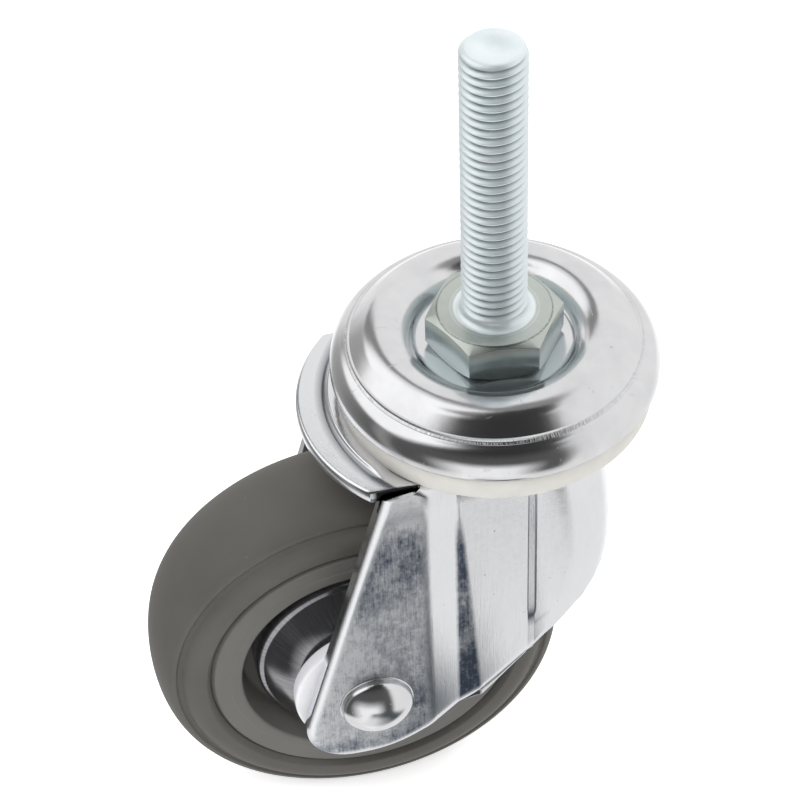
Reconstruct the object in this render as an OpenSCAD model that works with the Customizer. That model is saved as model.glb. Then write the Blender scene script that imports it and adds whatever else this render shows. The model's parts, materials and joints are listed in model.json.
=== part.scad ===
// Swivel castor with a threaded stem, a pressed steel fork and a ball bearing wheel.
// The origin is the middle of the hexagon's top face. The stem points up, along +Z,
// and the wheel trails towards -X. The near side of the wheel faces -Y.

/* [Stem] */
// Diameter over the thread
stem_d = 11.8; // [8:0.1:12]
// Length of the threaded stem above the hexagon
stem_len = 58; // [30:1:90]
// Length of the chamfer at the stem's tip
stem_tip = 1; // [0.5:0.1:2]
// Width of the hexagon across its flats
hex_af = 21.8; // [18:0.1:23]
// Height of the hexagon
hex_h = 7.6; // [5:0.1:9]
// Turn of the hexagon about the stem, in degrees
hex_turn = -4.5; // [-30:0.5:30]
// Diameter of the king bolt's shank inside the head
shank_d = 12; // [10:0.1:12.4]

/* [Swivel head] */
// Outer diameter of the swivel cap
head_d = 59.8; // [58:0.1:66]
// Sheet thickness of the swivel cap
cap_t = 2; // [1.4:0.1:2.4]
// Radius of the cap's crest ring
crest_ring_r = 20.2; // [19.8:0.1:20.6]
// Radius of the crest's round section
crest_r = 5.95; // [5.4:0.05:6.2]
// Radius of the cap's outer shoulder
shoulder_r = 5; // [4:0.1:6]
// Height of the cap's side wall above its lip
cap_wall = 1.7; // [1:0.1:2.4]
// Height that the cap's bead stands proud
bead_h = 0.3; // [0.1:0.05:0.5]
// Radius of the upper ring of balls
race_r = 12.2; // [11.8:0.1:12.6]
// Diameter of the upper balls
ball_d = 5.5; // [4.5:0.1:5.6]
// Number of upper balls
ball_count = 13; // [8:1:13]
// Radius of the lower ring of balls
lower_race_r = 10.1; // [10:0.1:10.3]
// Diameter of the lower balls
lower_ball_d = 4.4; // [3.8:0.1:4.5]
// Number of lower balls
lower_ball_count = 13; // [6:1:13]
// Distance that the dust seal's edge lies inside the cap's
seal_in = 0.8; // [0.2:0.1:1.4]

/* [Fork] */
// Sheet thickness of the fork
fork_t = 2.8; // [2.2:0.1:3]
// Distance from the wheel's middle plane to the outside of a leg at the axle
leg_y = 22.5; // [22.3:0.1:25]
// Distance that the wheel's axle trails behind the swivel axis
trail = 28.7; // [27.5:0.1:30]
// Depth of the axle below the hexagon's top face
axle_drop = 75.8; // [75:0.1:80]
// Radius of the crown's rounded rear edge
tongue_r = 30; // [29:0.1:32]
// Reach of the crown behind the swivel axis
tongue_reach = 36.6; // [35:0.1:39]
// Outer bend radius between the crown and the legs
bend_r = 4.5; // [4:0.1:5]
// Reach of the fork's front wall before the swivel axis
front_reach = 19.4; // [19:0.1:21]
// Reach of a leg below the axle
leg_below = 15; // [14:0.1:17]

/* [Wheel] */
// Diameter of the wheel over its tread
wheel_d = 80; // [77:0.5:81]
// Width of the tyre
tyre_w = 24.8; // [24:0.1:26]
// Thickness of the tyre from its tread to the core
tyre_t = 10; // [8:0.1:11]
// Width of the core's rim, between the tyre and the recess
rim_w = 6; // [4:0.1:7]
// Gap round the steel hub caps in the recess
hub_cap_gap = 3.2; // [2.5:0.1:4]
// Outer diameter of the thread guards
guard_d = 31.2; // [28:0.1:33]

/* [Axle] */
// Diameter of the axle rivet's shank
axle_d = 8; // [7.6:0.1:8.2]
// Diameter of the rivet's domed heads
rivet_head_d = 14.6; // [13:0.1:15.4]
// Height of the rivet's domed heads
rivet_head_h = 4; // [3:0.1:5]
// Outer diameter of the wheel bearings
bearing_od = 22; // [21.6:0.1:23]
// Width of each wheel bearing
bearing_w = 7; // [6:0.1:7.4]
// Number of balls in each wheel bearing
bearing_ball_count = 7; // [5:1:7]

/* [Hidden] */
// Facets to a full turn on drawn curves
$fn = 96;
// Steps in each arc of a profile
arc_n = 6;

// Clearance between surfaces that run past each other
run_gap = 0.05;
// Clearance between fixed pieces that slide over each other
fit_gap = 0.04;
// Distance that a cutting body runs past what it cuts
over = 1;
// Reach of a cutting body that clears the whole castor
far = 120;

// King bolt and the pieces that it clamps, from the hexagon down
stem_r = stem_d / 2;
shank_r = shank_d / 2;
floor_z = -hex_h;
under_floor_z = floor_z - cap_t;
hex_edge_share = 0.95;
hex_chamfer_h = 0.9;
race_web_t = 1.6;
ball_r = ball_d / 2;
ball_z = under_floor_z - race_web_t - run_gap - ball_r;
race_cover_share = 0.3;
upper_race_z = ball_z + ball_r * race_cover_share;
upper_race_margin = 0.5;
upper_race_out_r = race_r + ball_r + upper_race_margin;
spacer_r = 7.7;

// Boss of the fork's crown, which the balls run on
crown_z = -19.6;
crown_under_z = crown_z - fork_t;
boss_cover_share = 0.6;
boss_z = ball_z - ball_r * boss_cover_share;
boss_under_z = boss_z - fork_t;
boss_margin = 0.9;
boss_r = race_r + ball_r + boss_margin;
boss_corner_r = 0.7;
boss_fillet_r = 1.2;
boss_flange = 1.5;
crown_hole_r = 8.5;

// Lower race, washer and nut
lower_ball_r = lower_ball_d / 2;
lower_ball_z = boss_under_z - run_gap - lower_ball_r;
lower_cover_share = 0.4;
lower_race_z = lower_ball_z - lower_ball_r * lower_cover_share;
lower_race_web_t = 2.2;
lower_under_z = lower_ball_z - lower_ball_r - run_gap - lower_race_web_t;
lower_race_margin = 0.5;
lower_race_out_r = lower_race_r + lower_ball_r + lower_race_margin;
race_edge_r = 0.8;
washer_r = 11.5;
washer_t = 2;
washer_under_z = lower_under_z - washer_t;
nut_af = 18;
nut_h = 6;
nut_under_z = washer_under_z - nut_h;
shank_past = 2;
shank_under_z = nut_under_z - shank_past;

// Swivel cap
cap_r = head_d / 2;
crest_z = floor_z - cap_t;
floor_fillet_r = 1.5;
floor_fillet_dz = floor_fillet_r + floor_z - crest_z;
floor_fillet_dx = sqrt(pow(crest_r + floor_fillet_r, 2) - pow(floor_fillet_dz, 2));
floor_fillet_c = [crest_ring_r - floor_fillet_dx, floor_z + floor_fillet_r];
floor_fillet_a = atan2(floor_fillet_dz, floor_fillet_dx);
crest_end_a = 50;
shoulder_start_a = 62;
shoulder_drop = 2.7;
shoulder_c = [cap_r - shoulder_r, crest_z - shoulder_drop];
lip_z = shoulder_c[1] - cap_wall;
bead_r = 0.75;
bead_ring_r = shoulder_c[0] + shoulder_r * cos(shoulder_start_a) - bead_r / 2;
bead_z = shoulder_c[1] + shoulder_r * sin(shoulder_start_a) + bead_h - bead_r / 2;

// Dust seal between the cap's lip and the crown
seal_r = cap_r - seal_in;
seal_gap = 0.3;
seal_web_t = 1.6;
seal_rim_t = 2.6;
seal_taper = 0.3;
seal_spigot_gap = 0.5;
seal_spigot_t = 1.2;
seal_spigot_h = 1.3;
seal_hole_r = boss_r + boss_fillet_r + fit_gap;

// Fork: stations along a leg, and how far the sheet lies inside leg_y there
panel_end_x = -18;
valley_x = -12.3;
valley_in = 2.6;
ridge_x = -8;
ridge_in = 1.2;
crease_x = 1.2;
crease_in = 3;
cheek_x = 3.4;
cheek_in = 2.2;
front_lean = 1.4;
front_round_r = 11.5;
panel_round_r = 8;
valley_round_r = 3;
ridge_round_r = 4;
crease_round_r = 1.5;
// Height of the front wall's furthest reach, and how far it leans in at its top
front_bulge_z = -46;
front_top_in = 1;
front_bulge_r = 60;
// Outline of a leg from the side, set out from the axle
leg_top_x = -25.9;
leg_top_gap = 0.6;
leg_top_z = crown_under_z - leg_top_gap;
heel_back = 16.6;
toe_front = 2.7;
knee_front = 25.2;
knee_below = 2.5;
brow_front = 54.7;
brow_above = 26.8;
heel_r = 9.2;
toe_r = 20;
knee_r = 40;
relief_x = -18;
tongue_half_w = 21.2;
leg_in = leg_y - fork_t;

// Rivet bosses
axle_r = axle_d / 2;
rivet_head_r = rivet_head_d / 2;
rivet_rim_h = 0.7;
boss_ring_r = 8.4;
boss_ring_h = 0.5;

// Wheel, in distances from the axle and from the middle plane
wheel_r = wheel_d / 2;
tyre_half = tyre_w / 2;
core_r = wheel_r - tyre_t;
rim_in = 0.5;
rim_half = tyre_half - rim_in;
crown_drop = 3.4;
tread_flat = 0.25;
crease_half = 10.45;
side_in = 1.2;
side_r = core_r + side_in;
side_round_r = 1.2;
joint_round_r = 0.6;
recess_r = core_r - rim_w;
recess_draft = 0.4;
recess_round_r = 0.8;
web_half = 4;
hub_r = 15;
bearing_r = bearing_od / 2;
bearing_start = 5.2;
bearing_end = bearing_start + bearing_w;
shoulder_in = 1.4;

// Hub cap, pressed from thin steel
hub_cap_r = recess_r - hub_cap_gap;
hub_cap_t = 1;
hub_cap_round_r = 1.3;
hub_cap_edge = 9.6;
hub_cap_mouth_r = 13;
hub_cap_mouth = 15.2;

// Thread guard, with a collar that bears on the bearing's inner ring
guard_r = guard_d / 2;
guard_t = 3.2;
guard_round_r = 0.6;
guard_collar_r = 6.2;
// The guard's flat keeps clear of the bend where the leg's joggle starts
joggle_start_share = 0.26;
guard_flat = trail + panel_end_x - panel_round_r * joggle_start_share;

// Ball bearings
bearing_ring_t = 2;
bearing_ball_r = 1.9;
axle_bore_r = axle_r + fit_gap;
bearing_pitch_r = (axle_bore_r + bearing_r) / 2;
bearing_mid = bearing_start + bearing_w / 2;
sleeve_r = 6;

function unit(v) = v / norm(v);
function turned(v) = [-v[1], v[0]];
function xy(p) = [p[0], p[1]];
function tail(p) = [for (i = [1 : len(p) - 1]) p[i]];

// Points along an arc about c, from angle a0 to a1
function arc(c, r, a0, a1) =
    [for (i = [0 : arc_n]) c + r * [cos(a0 + (a1 - a0) * i / arc_n), sin(a0 + (a1 - a0) * i / arc_n)]];

// Arc of radius r that rounds the corner b between a and c
function corner(a, b, c, r) =
    let (u = unit(a - b), v = unit(c - b), half = acos(u * v) / 2,
         centre = b + unit(u + v) * r / sin(half),
         p = b + u * r / tan(half) - centre, q = b + v * r / tan(half) - centre,
         a0 = atan2(p[1], p[0]), turn = atan2(q[1], q[0]) - a0,
         sweep = turn > 180 ? turn - 360 : turn < -180 ? turn + 360 : turn)
    arc(centre, r, a0, a0 + sweep);

// A line whose inner points, given as [x, y, radius], are rounded
function rounded_line(p) = concat([xy(p[0])],
    [for (i = [1 : len(p) - 2])
        each p[i][2] == 0 ? [xy(p[i])] : corner(xy(p[i - 1]), xy(p[i]), xy(p[i + 1]), p[i][2])],
    [xy(p[len(p) - 1])]);

// A closed outline whose points, given as [x, y, radius], are rounded
function rounded_loop(p) = let (n = len(p))
    [for (i = [0 : n - 1])
        each p[i][2] == 0 ? [xy(p[i])]
            : corner(xy(p[(i + n - 1) % n]), xy(p[i]), xy(p[(i + 1) % n]), p[i][2])];

// A line moved sideways by d, to its left
function beside(p, d) = let (n = len(p))
    [for (i = [0 : n - 1])
        let (a = unit(p[min(i + 1, n - 1)] - p[min(i, n - 2)]), b = unit(p[max(i, 1)] - p[max(i - 1, 0)]),
             m = unit(a + b))
        p[i] + turned(m) * d / (a * m)];

function mirrored(p) = [for (i = [len(p) - 1 : -1 : 0]) [p[i][0], -p[i][1]]];

// A sheet of thickness t whose one face follows the line p
function sheet(p, t) = let (q = beside(p, t)) concat(p, [for (i = [len(q) - 1 : -1 : 0]) q[i]]);

module on_axle() {
    translate([-trail, 0, -axle_drop]) rotate([90, 0, 0]) children();
}

module far_side() {
    mirror([0, 0, 1]) children();
}

// Children set out evenly on a circle
module ring_of(n, r) {
    for (i = [0 : n - 1]) rotate([0, 0, 360 * i / n]) translate([r, 0, 0]) children();
}

module tube(r_out, r_in, z0, z1) {
    translate([0, 0, z0]) difference() {
        cylinder(r = r_out, h = z1 - z0);
        translate([0, 0, -over]) cylinder(r = r_in, h = z1 - z0 + 2 * over);
    }
}

module hexagon(af, z0, z1) {
    translate([0, 0, z0]) cylinder(d = af / cos(30), h = z1 - z0, $fn = 6);
}

// Turned blank that chamfers a hexagon's corners, on its top and, if told to, below
module chamfer_blank(af, z0, z1, edge_share, h, below) {
    r = af / 2;
    low = below ? r * edge_share : r / cos(30);
    low_h = below ? h : 0;
    rotate_extrude() polygon([[0, z0], [low, z0], [r / cos(30), z0 + low_h],
        [r / cos(30), z1 - h], [r * edge_share, z1], [0, z1]]);
}

module threaded_stem() color([0.74, 0.79, 0.8]) {
    rotate_extrude() polygon([[0, shank_under_z], [shank_r - stem_tip, shank_under_z],
        [shank_r, shank_under_z + stem_tip], [shank_r, floor_z + over], [stem_r, floor_z + over],
        [stem_r, stem_len - stem_tip], [stem_r - stem_tip, stem_len], [0, stem_len]]);
    rotate([0, 0, hex_turn]) intersection() {
        hexagon(hex_af, floor_z, 0);
        chamfer_blank(hex_af, floor_z, 0, hex_edge_share, hex_chamfer_h, true);
    }
}

cap_line = concat([[shank_r + fit_gap, floor_z]],
    arc(floor_fillet_c, floor_fillet_r, -90, -floor_fillet_a),
    tail(arc([crest_ring_r, crest_z], crest_r, 180 - floor_fillet_a, crest_end_a)),
    arc(shoulder_c, shoulder_r, shoulder_start_a, 0), [[cap_r, lip_z]]);

module swivel_cap() color([0.8, 0.8, 0.82]) {
    rotate_extrude() polygon(sheet(cap_line, -cap_t));
    rotate_extrude() translate([bead_ring_r, bead_z]) circle(r = bead_r, $fn = 24);
}

module upper_race() color([0.6, 0.6, 0.62]) rotate_extrude() difference() {
    translate([spacer_r + fit_gap, upper_race_z])
        square([upper_race_out_r - spacer_r - fit_gap, under_floor_z - upper_race_z]);
    translate([race_r, ball_z]) circle(r = ball_r + run_gap);
}

module race_spacer() color([0.62, 0.63, 0.64])
    tube(spacer_r, shank_r + fit_gap, lower_race_z, under_floor_z);

module lower_race() color([0.6, 0.6, 0.62]) rotate_extrude() difference() {
    polygon(rounded_loop([[shank_r + fit_gap, lower_under_z, 0],
        [lower_race_out_r, lower_under_z, race_edge_r], [lower_race_out_r, lower_race_z, 0],
        [shank_r + fit_gap, lower_race_z, 0]]));
    translate([lower_race_r, lower_ball_z]) circle(r = lower_ball_r + run_gap);
}

module king_washer() color([0.72, 0.73, 0.74])
    tube(washer_r, shank_r + fit_gap, washer_under_z, lower_under_z);

module king_nut() color([0.72, 0.74, 0.75]) difference() {
    rotate([0, 0, hex_turn]) intersection() {
        hexagon(nut_af, nut_under_z, washer_under_z);
        chamfer_blank(nut_af, nut_under_z, washer_under_z, 1, hex_chamfer_h, true);
    }
    translate([0, 0, nut_under_z - over]) cylinder(r = shank_r + fit_gap, h = nut_h + 2 * over);
}

// Outside of the fork's sheet seen from above, from its open rear to the middle of its front
leg_line = rounded_line([[-far, leg_y, 0], [panel_end_x, leg_y, panel_round_r],
    [valley_x, leg_y - valley_in, valley_round_r], [ridge_x, leg_y - ridge_in, ridge_round_r],
    [crease_x, leg_y - crease_in, crease_round_r], [cheek_x, leg_y - cheek_in, ridge_round_r],
    [front_reach - front_lean, leg_y - cheek_in, front_round_r], [front_reach, 0, 0]]);

// The same line seen across the fork, and along it
front_line = rounded_line([[-far, crown_z, 0], [front_reach - front_top_in, crown_z, bend_r],
    [front_reach + fit_gap, front_bulge_z, front_bulge_r], [front_reach - front_top_in, -far, 0]]);
side_line = rounded_line([[0, crown_z, 0], [leg_y, crown_z, bend_r], [leg_y, -far, 0]]);

// Body that fills the fork out to a line d inside its sheet's outer face, and past its
// open rear and foot by more the deeper the line is
module fork_fill(d) {
    intersection() {
        translate([0, 0, -far - d]) linear_extrude(far) let (p = tail(beside(leg_line, -d)))
            polygon(concat([[-far - d, leg_y - d]], p, tail(mirrored(p)), [[-far - d, d - leg_y]]));
        translate([0, far, 0]) rotate([90, 0, 0]) linear_extrude(2 * far)
            polygon(concat([[-far - over - d, crown_z - d]], tail(beside(front_line, -d)),
                [[-far - over - d, -far - over - d]]));
        translate([-far - over - d, 0, 0]) rotate([90, 0, 90]) linear_extrude(2 * far)
            let (p = tail(beside(side_line, -d)))
            polygon(concat(p, [for (i = [len(p) - 1 : -1 : 0]) [-p[i][0], p[i][1]]]));
    }
}

leg_outline = rounded_loop([[leg_top_x, leg_top_z, 0],
    [-trail - heel_back, -axle_drop - leg_below, heel_r],
    [-trail + toe_front, -axle_drop - leg_below, toe_r],
    [-trail + knee_front, -axle_drop - knee_below, knee_r],
    [-trail + brow_front, -axle_drop + brow_above, 0],
    [-trail + brow_front, 0, 0], [relief_x, 0, 0], [relief_x, leg_top_z, 0]]);

boss_line = rounded_line([[crown_hole_r, boss_z, 0], [boss_r, boss_z, boss_corner_r],
    [boss_r, crown_z, boss_fillet_r], [boss_r + boss_flange, crown_z, 0]]);

module fork() color([0.72, 0.74, 0.78]) difference() {
    union() {
        intersection() {
            difference() {
                fork_fill(0);
                fork_fill(fork_t);
            }
            translate([0, far, 0]) rotate([90, 0, 0]) linear_extrude(2 * far) polygon(leg_outline);
        }
        translate([0, 0, crown_under_z]) linear_extrude(fork_t) intersection() {
            translate([tongue_r - tongue_reach, 0]) circle(r = tongue_r);
            translate([-far, -tongue_half_w]) square([far, 2 * tongue_half_w]);
        }
        rotate_extrude() polygon(concat(boss_line, [[boss_r + boss_flange, crown_under_z],
            [crown_hole_r, crown_under_z]]));
        for (side = [1, -1]) on_axle() mirror([0, 0, side < 0 ? 1 : 0])
            translate([0, 0, leg_in + fork_t - over])
                cylinder(r1 = boss_ring_r + over, r2 = boss_ring_r, h = over + boss_ring_h);
    }
    translate([0, 0, boss_under_z - far]) cylinder(r = boss_r - fork_t, h = far);
    translate([0, 0, -far / 2]) cylinder(r = crown_hole_r, h = far);
    rotate_extrude() translate([race_r, ball_z]) circle(r = ball_r + run_gap);
    on_axle() translate([0, 0, -far]) cylinder(r = axle_r + fit_gap, h = 2 * far);
}

module dust_seal() color([0.9, 0.88, 0.84]) rotate_extrude() polygon([[seal_hole_r, crown_z],
    [seal_r - seal_taper, crown_z], [seal_r, lip_z - seal_gap],
    [cap_r - cap_t - seal_spigot_gap, lip_z - seal_gap],
    [cap_r - cap_t - seal_spigot_gap, lip_z + seal_spigot_h],
    [cap_r - cap_t - seal_spigot_gap - seal_spigot_t, lip_z + seal_spigot_h],
    [seal_r - seal_rim_t - seal_spigot_t, crown_z + seal_web_t], [seal_hole_r, crown_z + seal_web_t]]);

module upper_balls() color([0.66, 0.67, 0.7])
    translate([0, 0, ball_z]) ring_of(ball_count, race_r) sphere(r = ball_r);

module lower_balls() color([0.66, 0.67, 0.7])
    translate([0, 0, lower_ball_z]) ring_of(lower_ball_count, lower_race_r) sphere(r = lower_ball_r);

rivet_dome_r = (pow(rivet_head_r, 2) + pow(rivet_head_h - rivet_rim_h, 2)) / 2
    / (rivet_head_h - rivet_rim_h);
rivet_dome_a = asin(rivet_head_r / rivet_dome_r);
rivet_face = leg_y + boss_ring_h;

module rivet_head() {
    rotate_extrude() polygon(concat([[0, rivet_face], [rivet_head_r, rivet_face]],
        arc([0, rivet_face + rivet_head_h - rivet_dome_r], rivet_dome_r, 90 - rivet_dome_a, 90)));
}

module axle_rivet() color([0.8, 0.81, 0.8]) on_axle() {
    translate([0, 0, -rivet_face]) cylinder(r = axle_r, h = 2 * rivet_face);
    rivet_head();
    far_side() rivet_head();
}

module axle_sleeve() color([0.6, 0.61, 0.62]) on_axle()
    tube(sleeve_r, axle_bore_r, -bearing_start, bearing_start);

module thread_guard() difference() {
    rotate_extrude() polygon(rounded_loop([[axle_bore_r, bearing_end, 0],
        [guard_collar_r, bearing_end, 0], [guard_collar_r, leg_in - guard_t, 0],
        [guard_r, leg_in - guard_t, guard_round_r], [guard_r, leg_in, guard_round_r],
        [axle_bore_r, leg_in, 0]]));
    translate([guard_flat, -guard_r, 0]) cube([guard_r, 2 * guard_r, leg_y]);
}

module thread_guard_near() color([0.93, 0.93, 0.95]) on_axle() thread_guard();
module thread_guard_far() color([0.93, 0.93, 0.95]) on_axle() far_side() thread_guard();

module bearing_ring(r_in, r_out) {
    rotate_extrude() difference() {
        translate([r_in, bearing_start]) square([r_out - r_in, bearing_w]);
        translate([bearing_pitch_r, bearing_mid]) circle(r = bearing_ball_r + run_gap);
    }
}

module bearing_inner() bearing_ring(axle_bore_r, axle_bore_r + bearing_ring_t);
module bearing_outer() bearing_ring(bearing_r - bearing_ring_t, bearing_r - fit_gap);
module bearing_balls() translate([0, 0, bearing_mid])
    ring_of(bearing_ball_count, bearing_pitch_r) sphere(r = bearing_ball_r);

module bearing_inner_near() color([0.62, 0.63, 0.66]) on_axle() bearing_inner();
module bearing_inner_far() color([0.62, 0.63, 0.66]) on_axle() far_side() bearing_inner();
module bearing_outer_near() color([0.58, 0.59, 0.62]) on_axle() bearing_outer();
module bearing_outer_far() color([0.58, 0.59, 0.62]) on_axle() far_side() bearing_outer();
module bearing_balls_near() color([0.66, 0.67, 0.7]) on_axle() bearing_balls();
module bearing_balls_far() color([0.66, 0.67, 0.7]) on_axle() far_side() bearing_balls();

// One side of the tyre's tread and flank, from the middle of the tread inwards
tread_line = concat(
    [for (i = [0 : 2 * arc_n]) let (a = 45 * i / arc_n)
        [wheel_r - crown_drop * (1 - cos(a)), tread_flat + (crease_half - tread_flat) * sin(a)]],
    corner([wheel_r - crown_drop, crease_half], [side_r, tyre_half], [core_r, tyre_half], side_round_r),
    corner([side_r, tyre_half], [core_r, tyre_half], [core_r, 0], joint_round_r));

module tyre() color([0.42, 0.41, 0.39]) on_axle() rotate_extrude()
    polygon(concat(tread_line, mirrored(tread_line)));

module wheel_core() color([0.45, 0.44, 0.42]) on_axle() rotate_extrude() {
    half = [[bearing_r - shoulder_in, bearing_start, 0], [bearing_r, bearing_start, 0],
        [bearing_r, bearing_end, 0], [hub_r, bearing_end, 0], [hub_r, web_half, 0],
        [recess_r - recess_draft, web_half, 0], [recess_r, rim_half, recess_round_r],
        [core_r, rim_half, joint_round_r]];
    polygon(rounded_loop(concat(half, [for (i = [len(half) - 1 : -1 : 0])
        [half[i][0], -half[i][1], half[i][2]]])));
}

module hub_cap() {
    rotate_extrude() polygon(sheet(rounded_line([[hub_cap_r, web_half, 0],
        [hub_cap_r, hub_cap_edge, hub_cap_round_r], [hub_cap_mouth_r, hub_cap_mouth, 0]]), hub_cap_t));
}

module hub_cap_near() color([0.5, 0.5, 0.52]) on_axle() hub_cap();
module hub_cap_far() color([0.5, 0.5, 0.52]) on_axle() far_side() hub_cap();

threaded_stem();
swivel_cap();
upper_race();
race_spacer();
lower_race();
king_washer();
king_nut();
fork();
dust_seal();
upper_balls();
lower_balls();
axle_rivet();
axle_sleeve();
thread_guard_near();
thread_guard_far();
bearing_inner_near();
bearing_inner_far();
tyre();
wheel_core();
hub_cap_near();
hub_cap_far();
bearing_outer_near();
bearing_outer_far();
bearing_balls_near();
bearing_balls_far();
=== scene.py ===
"""Swivel castor: the render model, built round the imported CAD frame.

Laid out as an add-on: sizes and colours are properties, each group of pieces has an operator,
and the panel in the 3D view's sidebar lists them. Lengths are in metres, in the CAD's frame.
"""

import json
import math

import bmesh
import bpy
from bpy.props import (
    FloatProperty,
    FloatVectorProperty,
    PointerProperty,
)
from mathutils import Matrix, Vector


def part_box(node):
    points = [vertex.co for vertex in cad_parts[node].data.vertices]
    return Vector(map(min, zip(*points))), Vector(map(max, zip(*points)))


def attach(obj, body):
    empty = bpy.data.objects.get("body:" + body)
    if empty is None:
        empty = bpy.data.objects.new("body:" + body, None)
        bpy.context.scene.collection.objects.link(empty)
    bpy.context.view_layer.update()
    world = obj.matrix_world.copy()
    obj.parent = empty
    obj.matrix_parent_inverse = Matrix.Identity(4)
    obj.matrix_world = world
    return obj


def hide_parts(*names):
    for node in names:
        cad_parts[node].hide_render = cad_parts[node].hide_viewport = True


bl_info = {
    "name": "Swivel Castor",
    "version": (1, 0, 0),
    "blender": (4, 5, 0),
    "location": "View3D > Sidebar > Castor",
    "description": "Models a threaded stem swivel castor round its CAD frame",
    "category": "Add Mesh",
}

MM = 0.001
DEGREE = math.radians(1)
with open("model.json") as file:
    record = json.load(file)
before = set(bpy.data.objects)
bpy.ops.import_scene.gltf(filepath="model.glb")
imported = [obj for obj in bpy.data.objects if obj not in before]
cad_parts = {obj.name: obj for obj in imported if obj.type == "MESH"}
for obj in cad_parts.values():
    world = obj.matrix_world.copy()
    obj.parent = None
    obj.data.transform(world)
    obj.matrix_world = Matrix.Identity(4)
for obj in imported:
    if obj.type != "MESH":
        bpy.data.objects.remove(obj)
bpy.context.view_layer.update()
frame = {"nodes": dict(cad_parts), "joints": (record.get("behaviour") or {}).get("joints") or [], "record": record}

STEM = next(m for m in frame["record"]["mounts"] if m["name"] == "stem")
AXLE = Vector(next(j for j in frame["joints"] if j["name"] == "wheel_spin")["pos_m"])
AXIS_Z = Vector((0, 0, 1))
SMOOTH_ANGLE = 32 * DEGREE
SHEET_SMOOTH_ANGLE = 40 * DEGREE
MERGE = 1e-6
NEARLY_STRAIGHT = 88.9 * DEGREE
SIDES = ((-1, "near"), (1, "far"))
TURNING_PITCH = 0.42 * MM
HEX_RING = 7.9 * MM

# Outline of the fork's legs from the side, as places along x and z
REAR_TOP = Vector((-25.9 * MM, -21.3 * MM))
FOOT_REAR = Vector((AXLE.x - 16.6 * MM, AXLE.z - 15 * MM))
FOOT_FRONT = Vector((AXLE.x + 2.7 * MM, FOOT_REAR.y))
RISE_MIDDLE = Vector((AXLE.x + 25.2 * MM, AXLE.z - 2.5 * MM))
RISE_END = Vector((AXLE.x + 54.7 * MM, AXLE.z + 26.8 * MM))

# The legs' flat rear panel, and the valley pressed beside it, which widens downward
PANEL_END = -19.9 * MM
VALLEY_REAR = -12 * MM
VALLEY_SPREAD = 4.0 * MM
DRAWN_TOP = -29 * MM
DRAWN_TALL = 56 * MM


def low(node, axis):
    """Lowest place of a CAD node along an axis."""
    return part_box(node)[0]["xyz".index(axis)]


def high(node, axis):
    """Highest place of a CAD node along an axis."""
    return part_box(node)[1]["xyz".index(axis)]


def width(node, axis):
    """Size of a CAD node along an axis."""
    return high(node, axis) - low(node, axis)


def length_prop(name, description, default, smallest=0.0, largest=0.5):
    """A length that the panel shows in the scene's units."""
    return FloatProperty(name=name, description=description, default=default, min=smallest,
                         max=largest, precision=5, subtype="DISTANCE", unit="LENGTH")


def angle_prop(name, description, degrees):
    """An angle that the panel shows in degrees."""
    return FloatProperty(name=name, description=description, default=math.radians(degrees),
                         subtype="ANGLE", unit="ROTATION")


def colour_prop(name, description, default):
    """A colour with no alpha."""
    return FloatVectorProperty(name=name, description=description, default=default, size=3,
                               min=0.0, max=1.0, subtype="COLOR")


class StemSizes(bpy.types.PropertyGroup):
    """Threaded stem and its hexagon."""

    radius: length_prop("Radius", "Radius over the thread's crests", STEM["dims"]["r_mm"] * MM)
    length: length_prop("Length", "Length above the hexagon", high("threaded_stem", "z"))
    pitch: length_prop("Pitch", "Pitch of the thread", 1.75 * MM)
    depth: length_prop("Thread depth", "Depth of the thread's groove", 0.95 * MM)
    tip: length_prop("Tip", "Height of the rounded tip", 1.3 * MM)
    root: length_prop("Root", "Radius of the fillet where the stem meets the hexagon", 1.4 * MM)
    hex_flats: length_prop("Hexagon", "Width of the hexagon across its flats", 21.8 * MM)
    hex_height: length_prop("Hexagon height", "Height of the hexagon", 7.6 * MM)
    hex_turn: angle_prop("Hexagon turn", "Turn of the hexagon about the stem", -4.5)
    hex_face: length_prop("Hexagon face", "Radius of the hexagon's flat top face", 10.3 * MM)


class HeadSizes(bpy.types.PropertyGroup):
    """Swivel cap and dust seal."""

    radius: length_prop("Cap radius", "Outer radius of the swivel cap", high("swivel_cap", "x"))
    sheet: length_prop("Cap sheet", "Sheet thickness of the swivel cap", 2.0 * MM)
    floor: length_prop("Recess", "Height of the recess floor", -7.6 * MM, -0.05, 0.0)
    crest_ring: length_prop("Crest ring", "Radius of the cap's crest ring", 20.2 * MM)
    crest: length_prop("Crest", "Radius of the crest's round section", 5.95 * MM)
    fillet: length_prop("Floor fillet", "Fillet between the recess floor and the crest", 1.5 * MM)
    shoulder: length_prop("Shoulder", "Radius of the outer shoulder", 5.0 * MM)
    shoulder_drop: length_prop("Shoulder drop", "Depth of the shoulder under the crest", 2.7 * MM)
    bead: length_prop("Bead", "Height of the rolled bead line", 0.30 * MM)
    seal_radius: length_prop("Seal radius", "Outer radius of the dust seal",
                             high("dust_seal", "x"))


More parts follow.
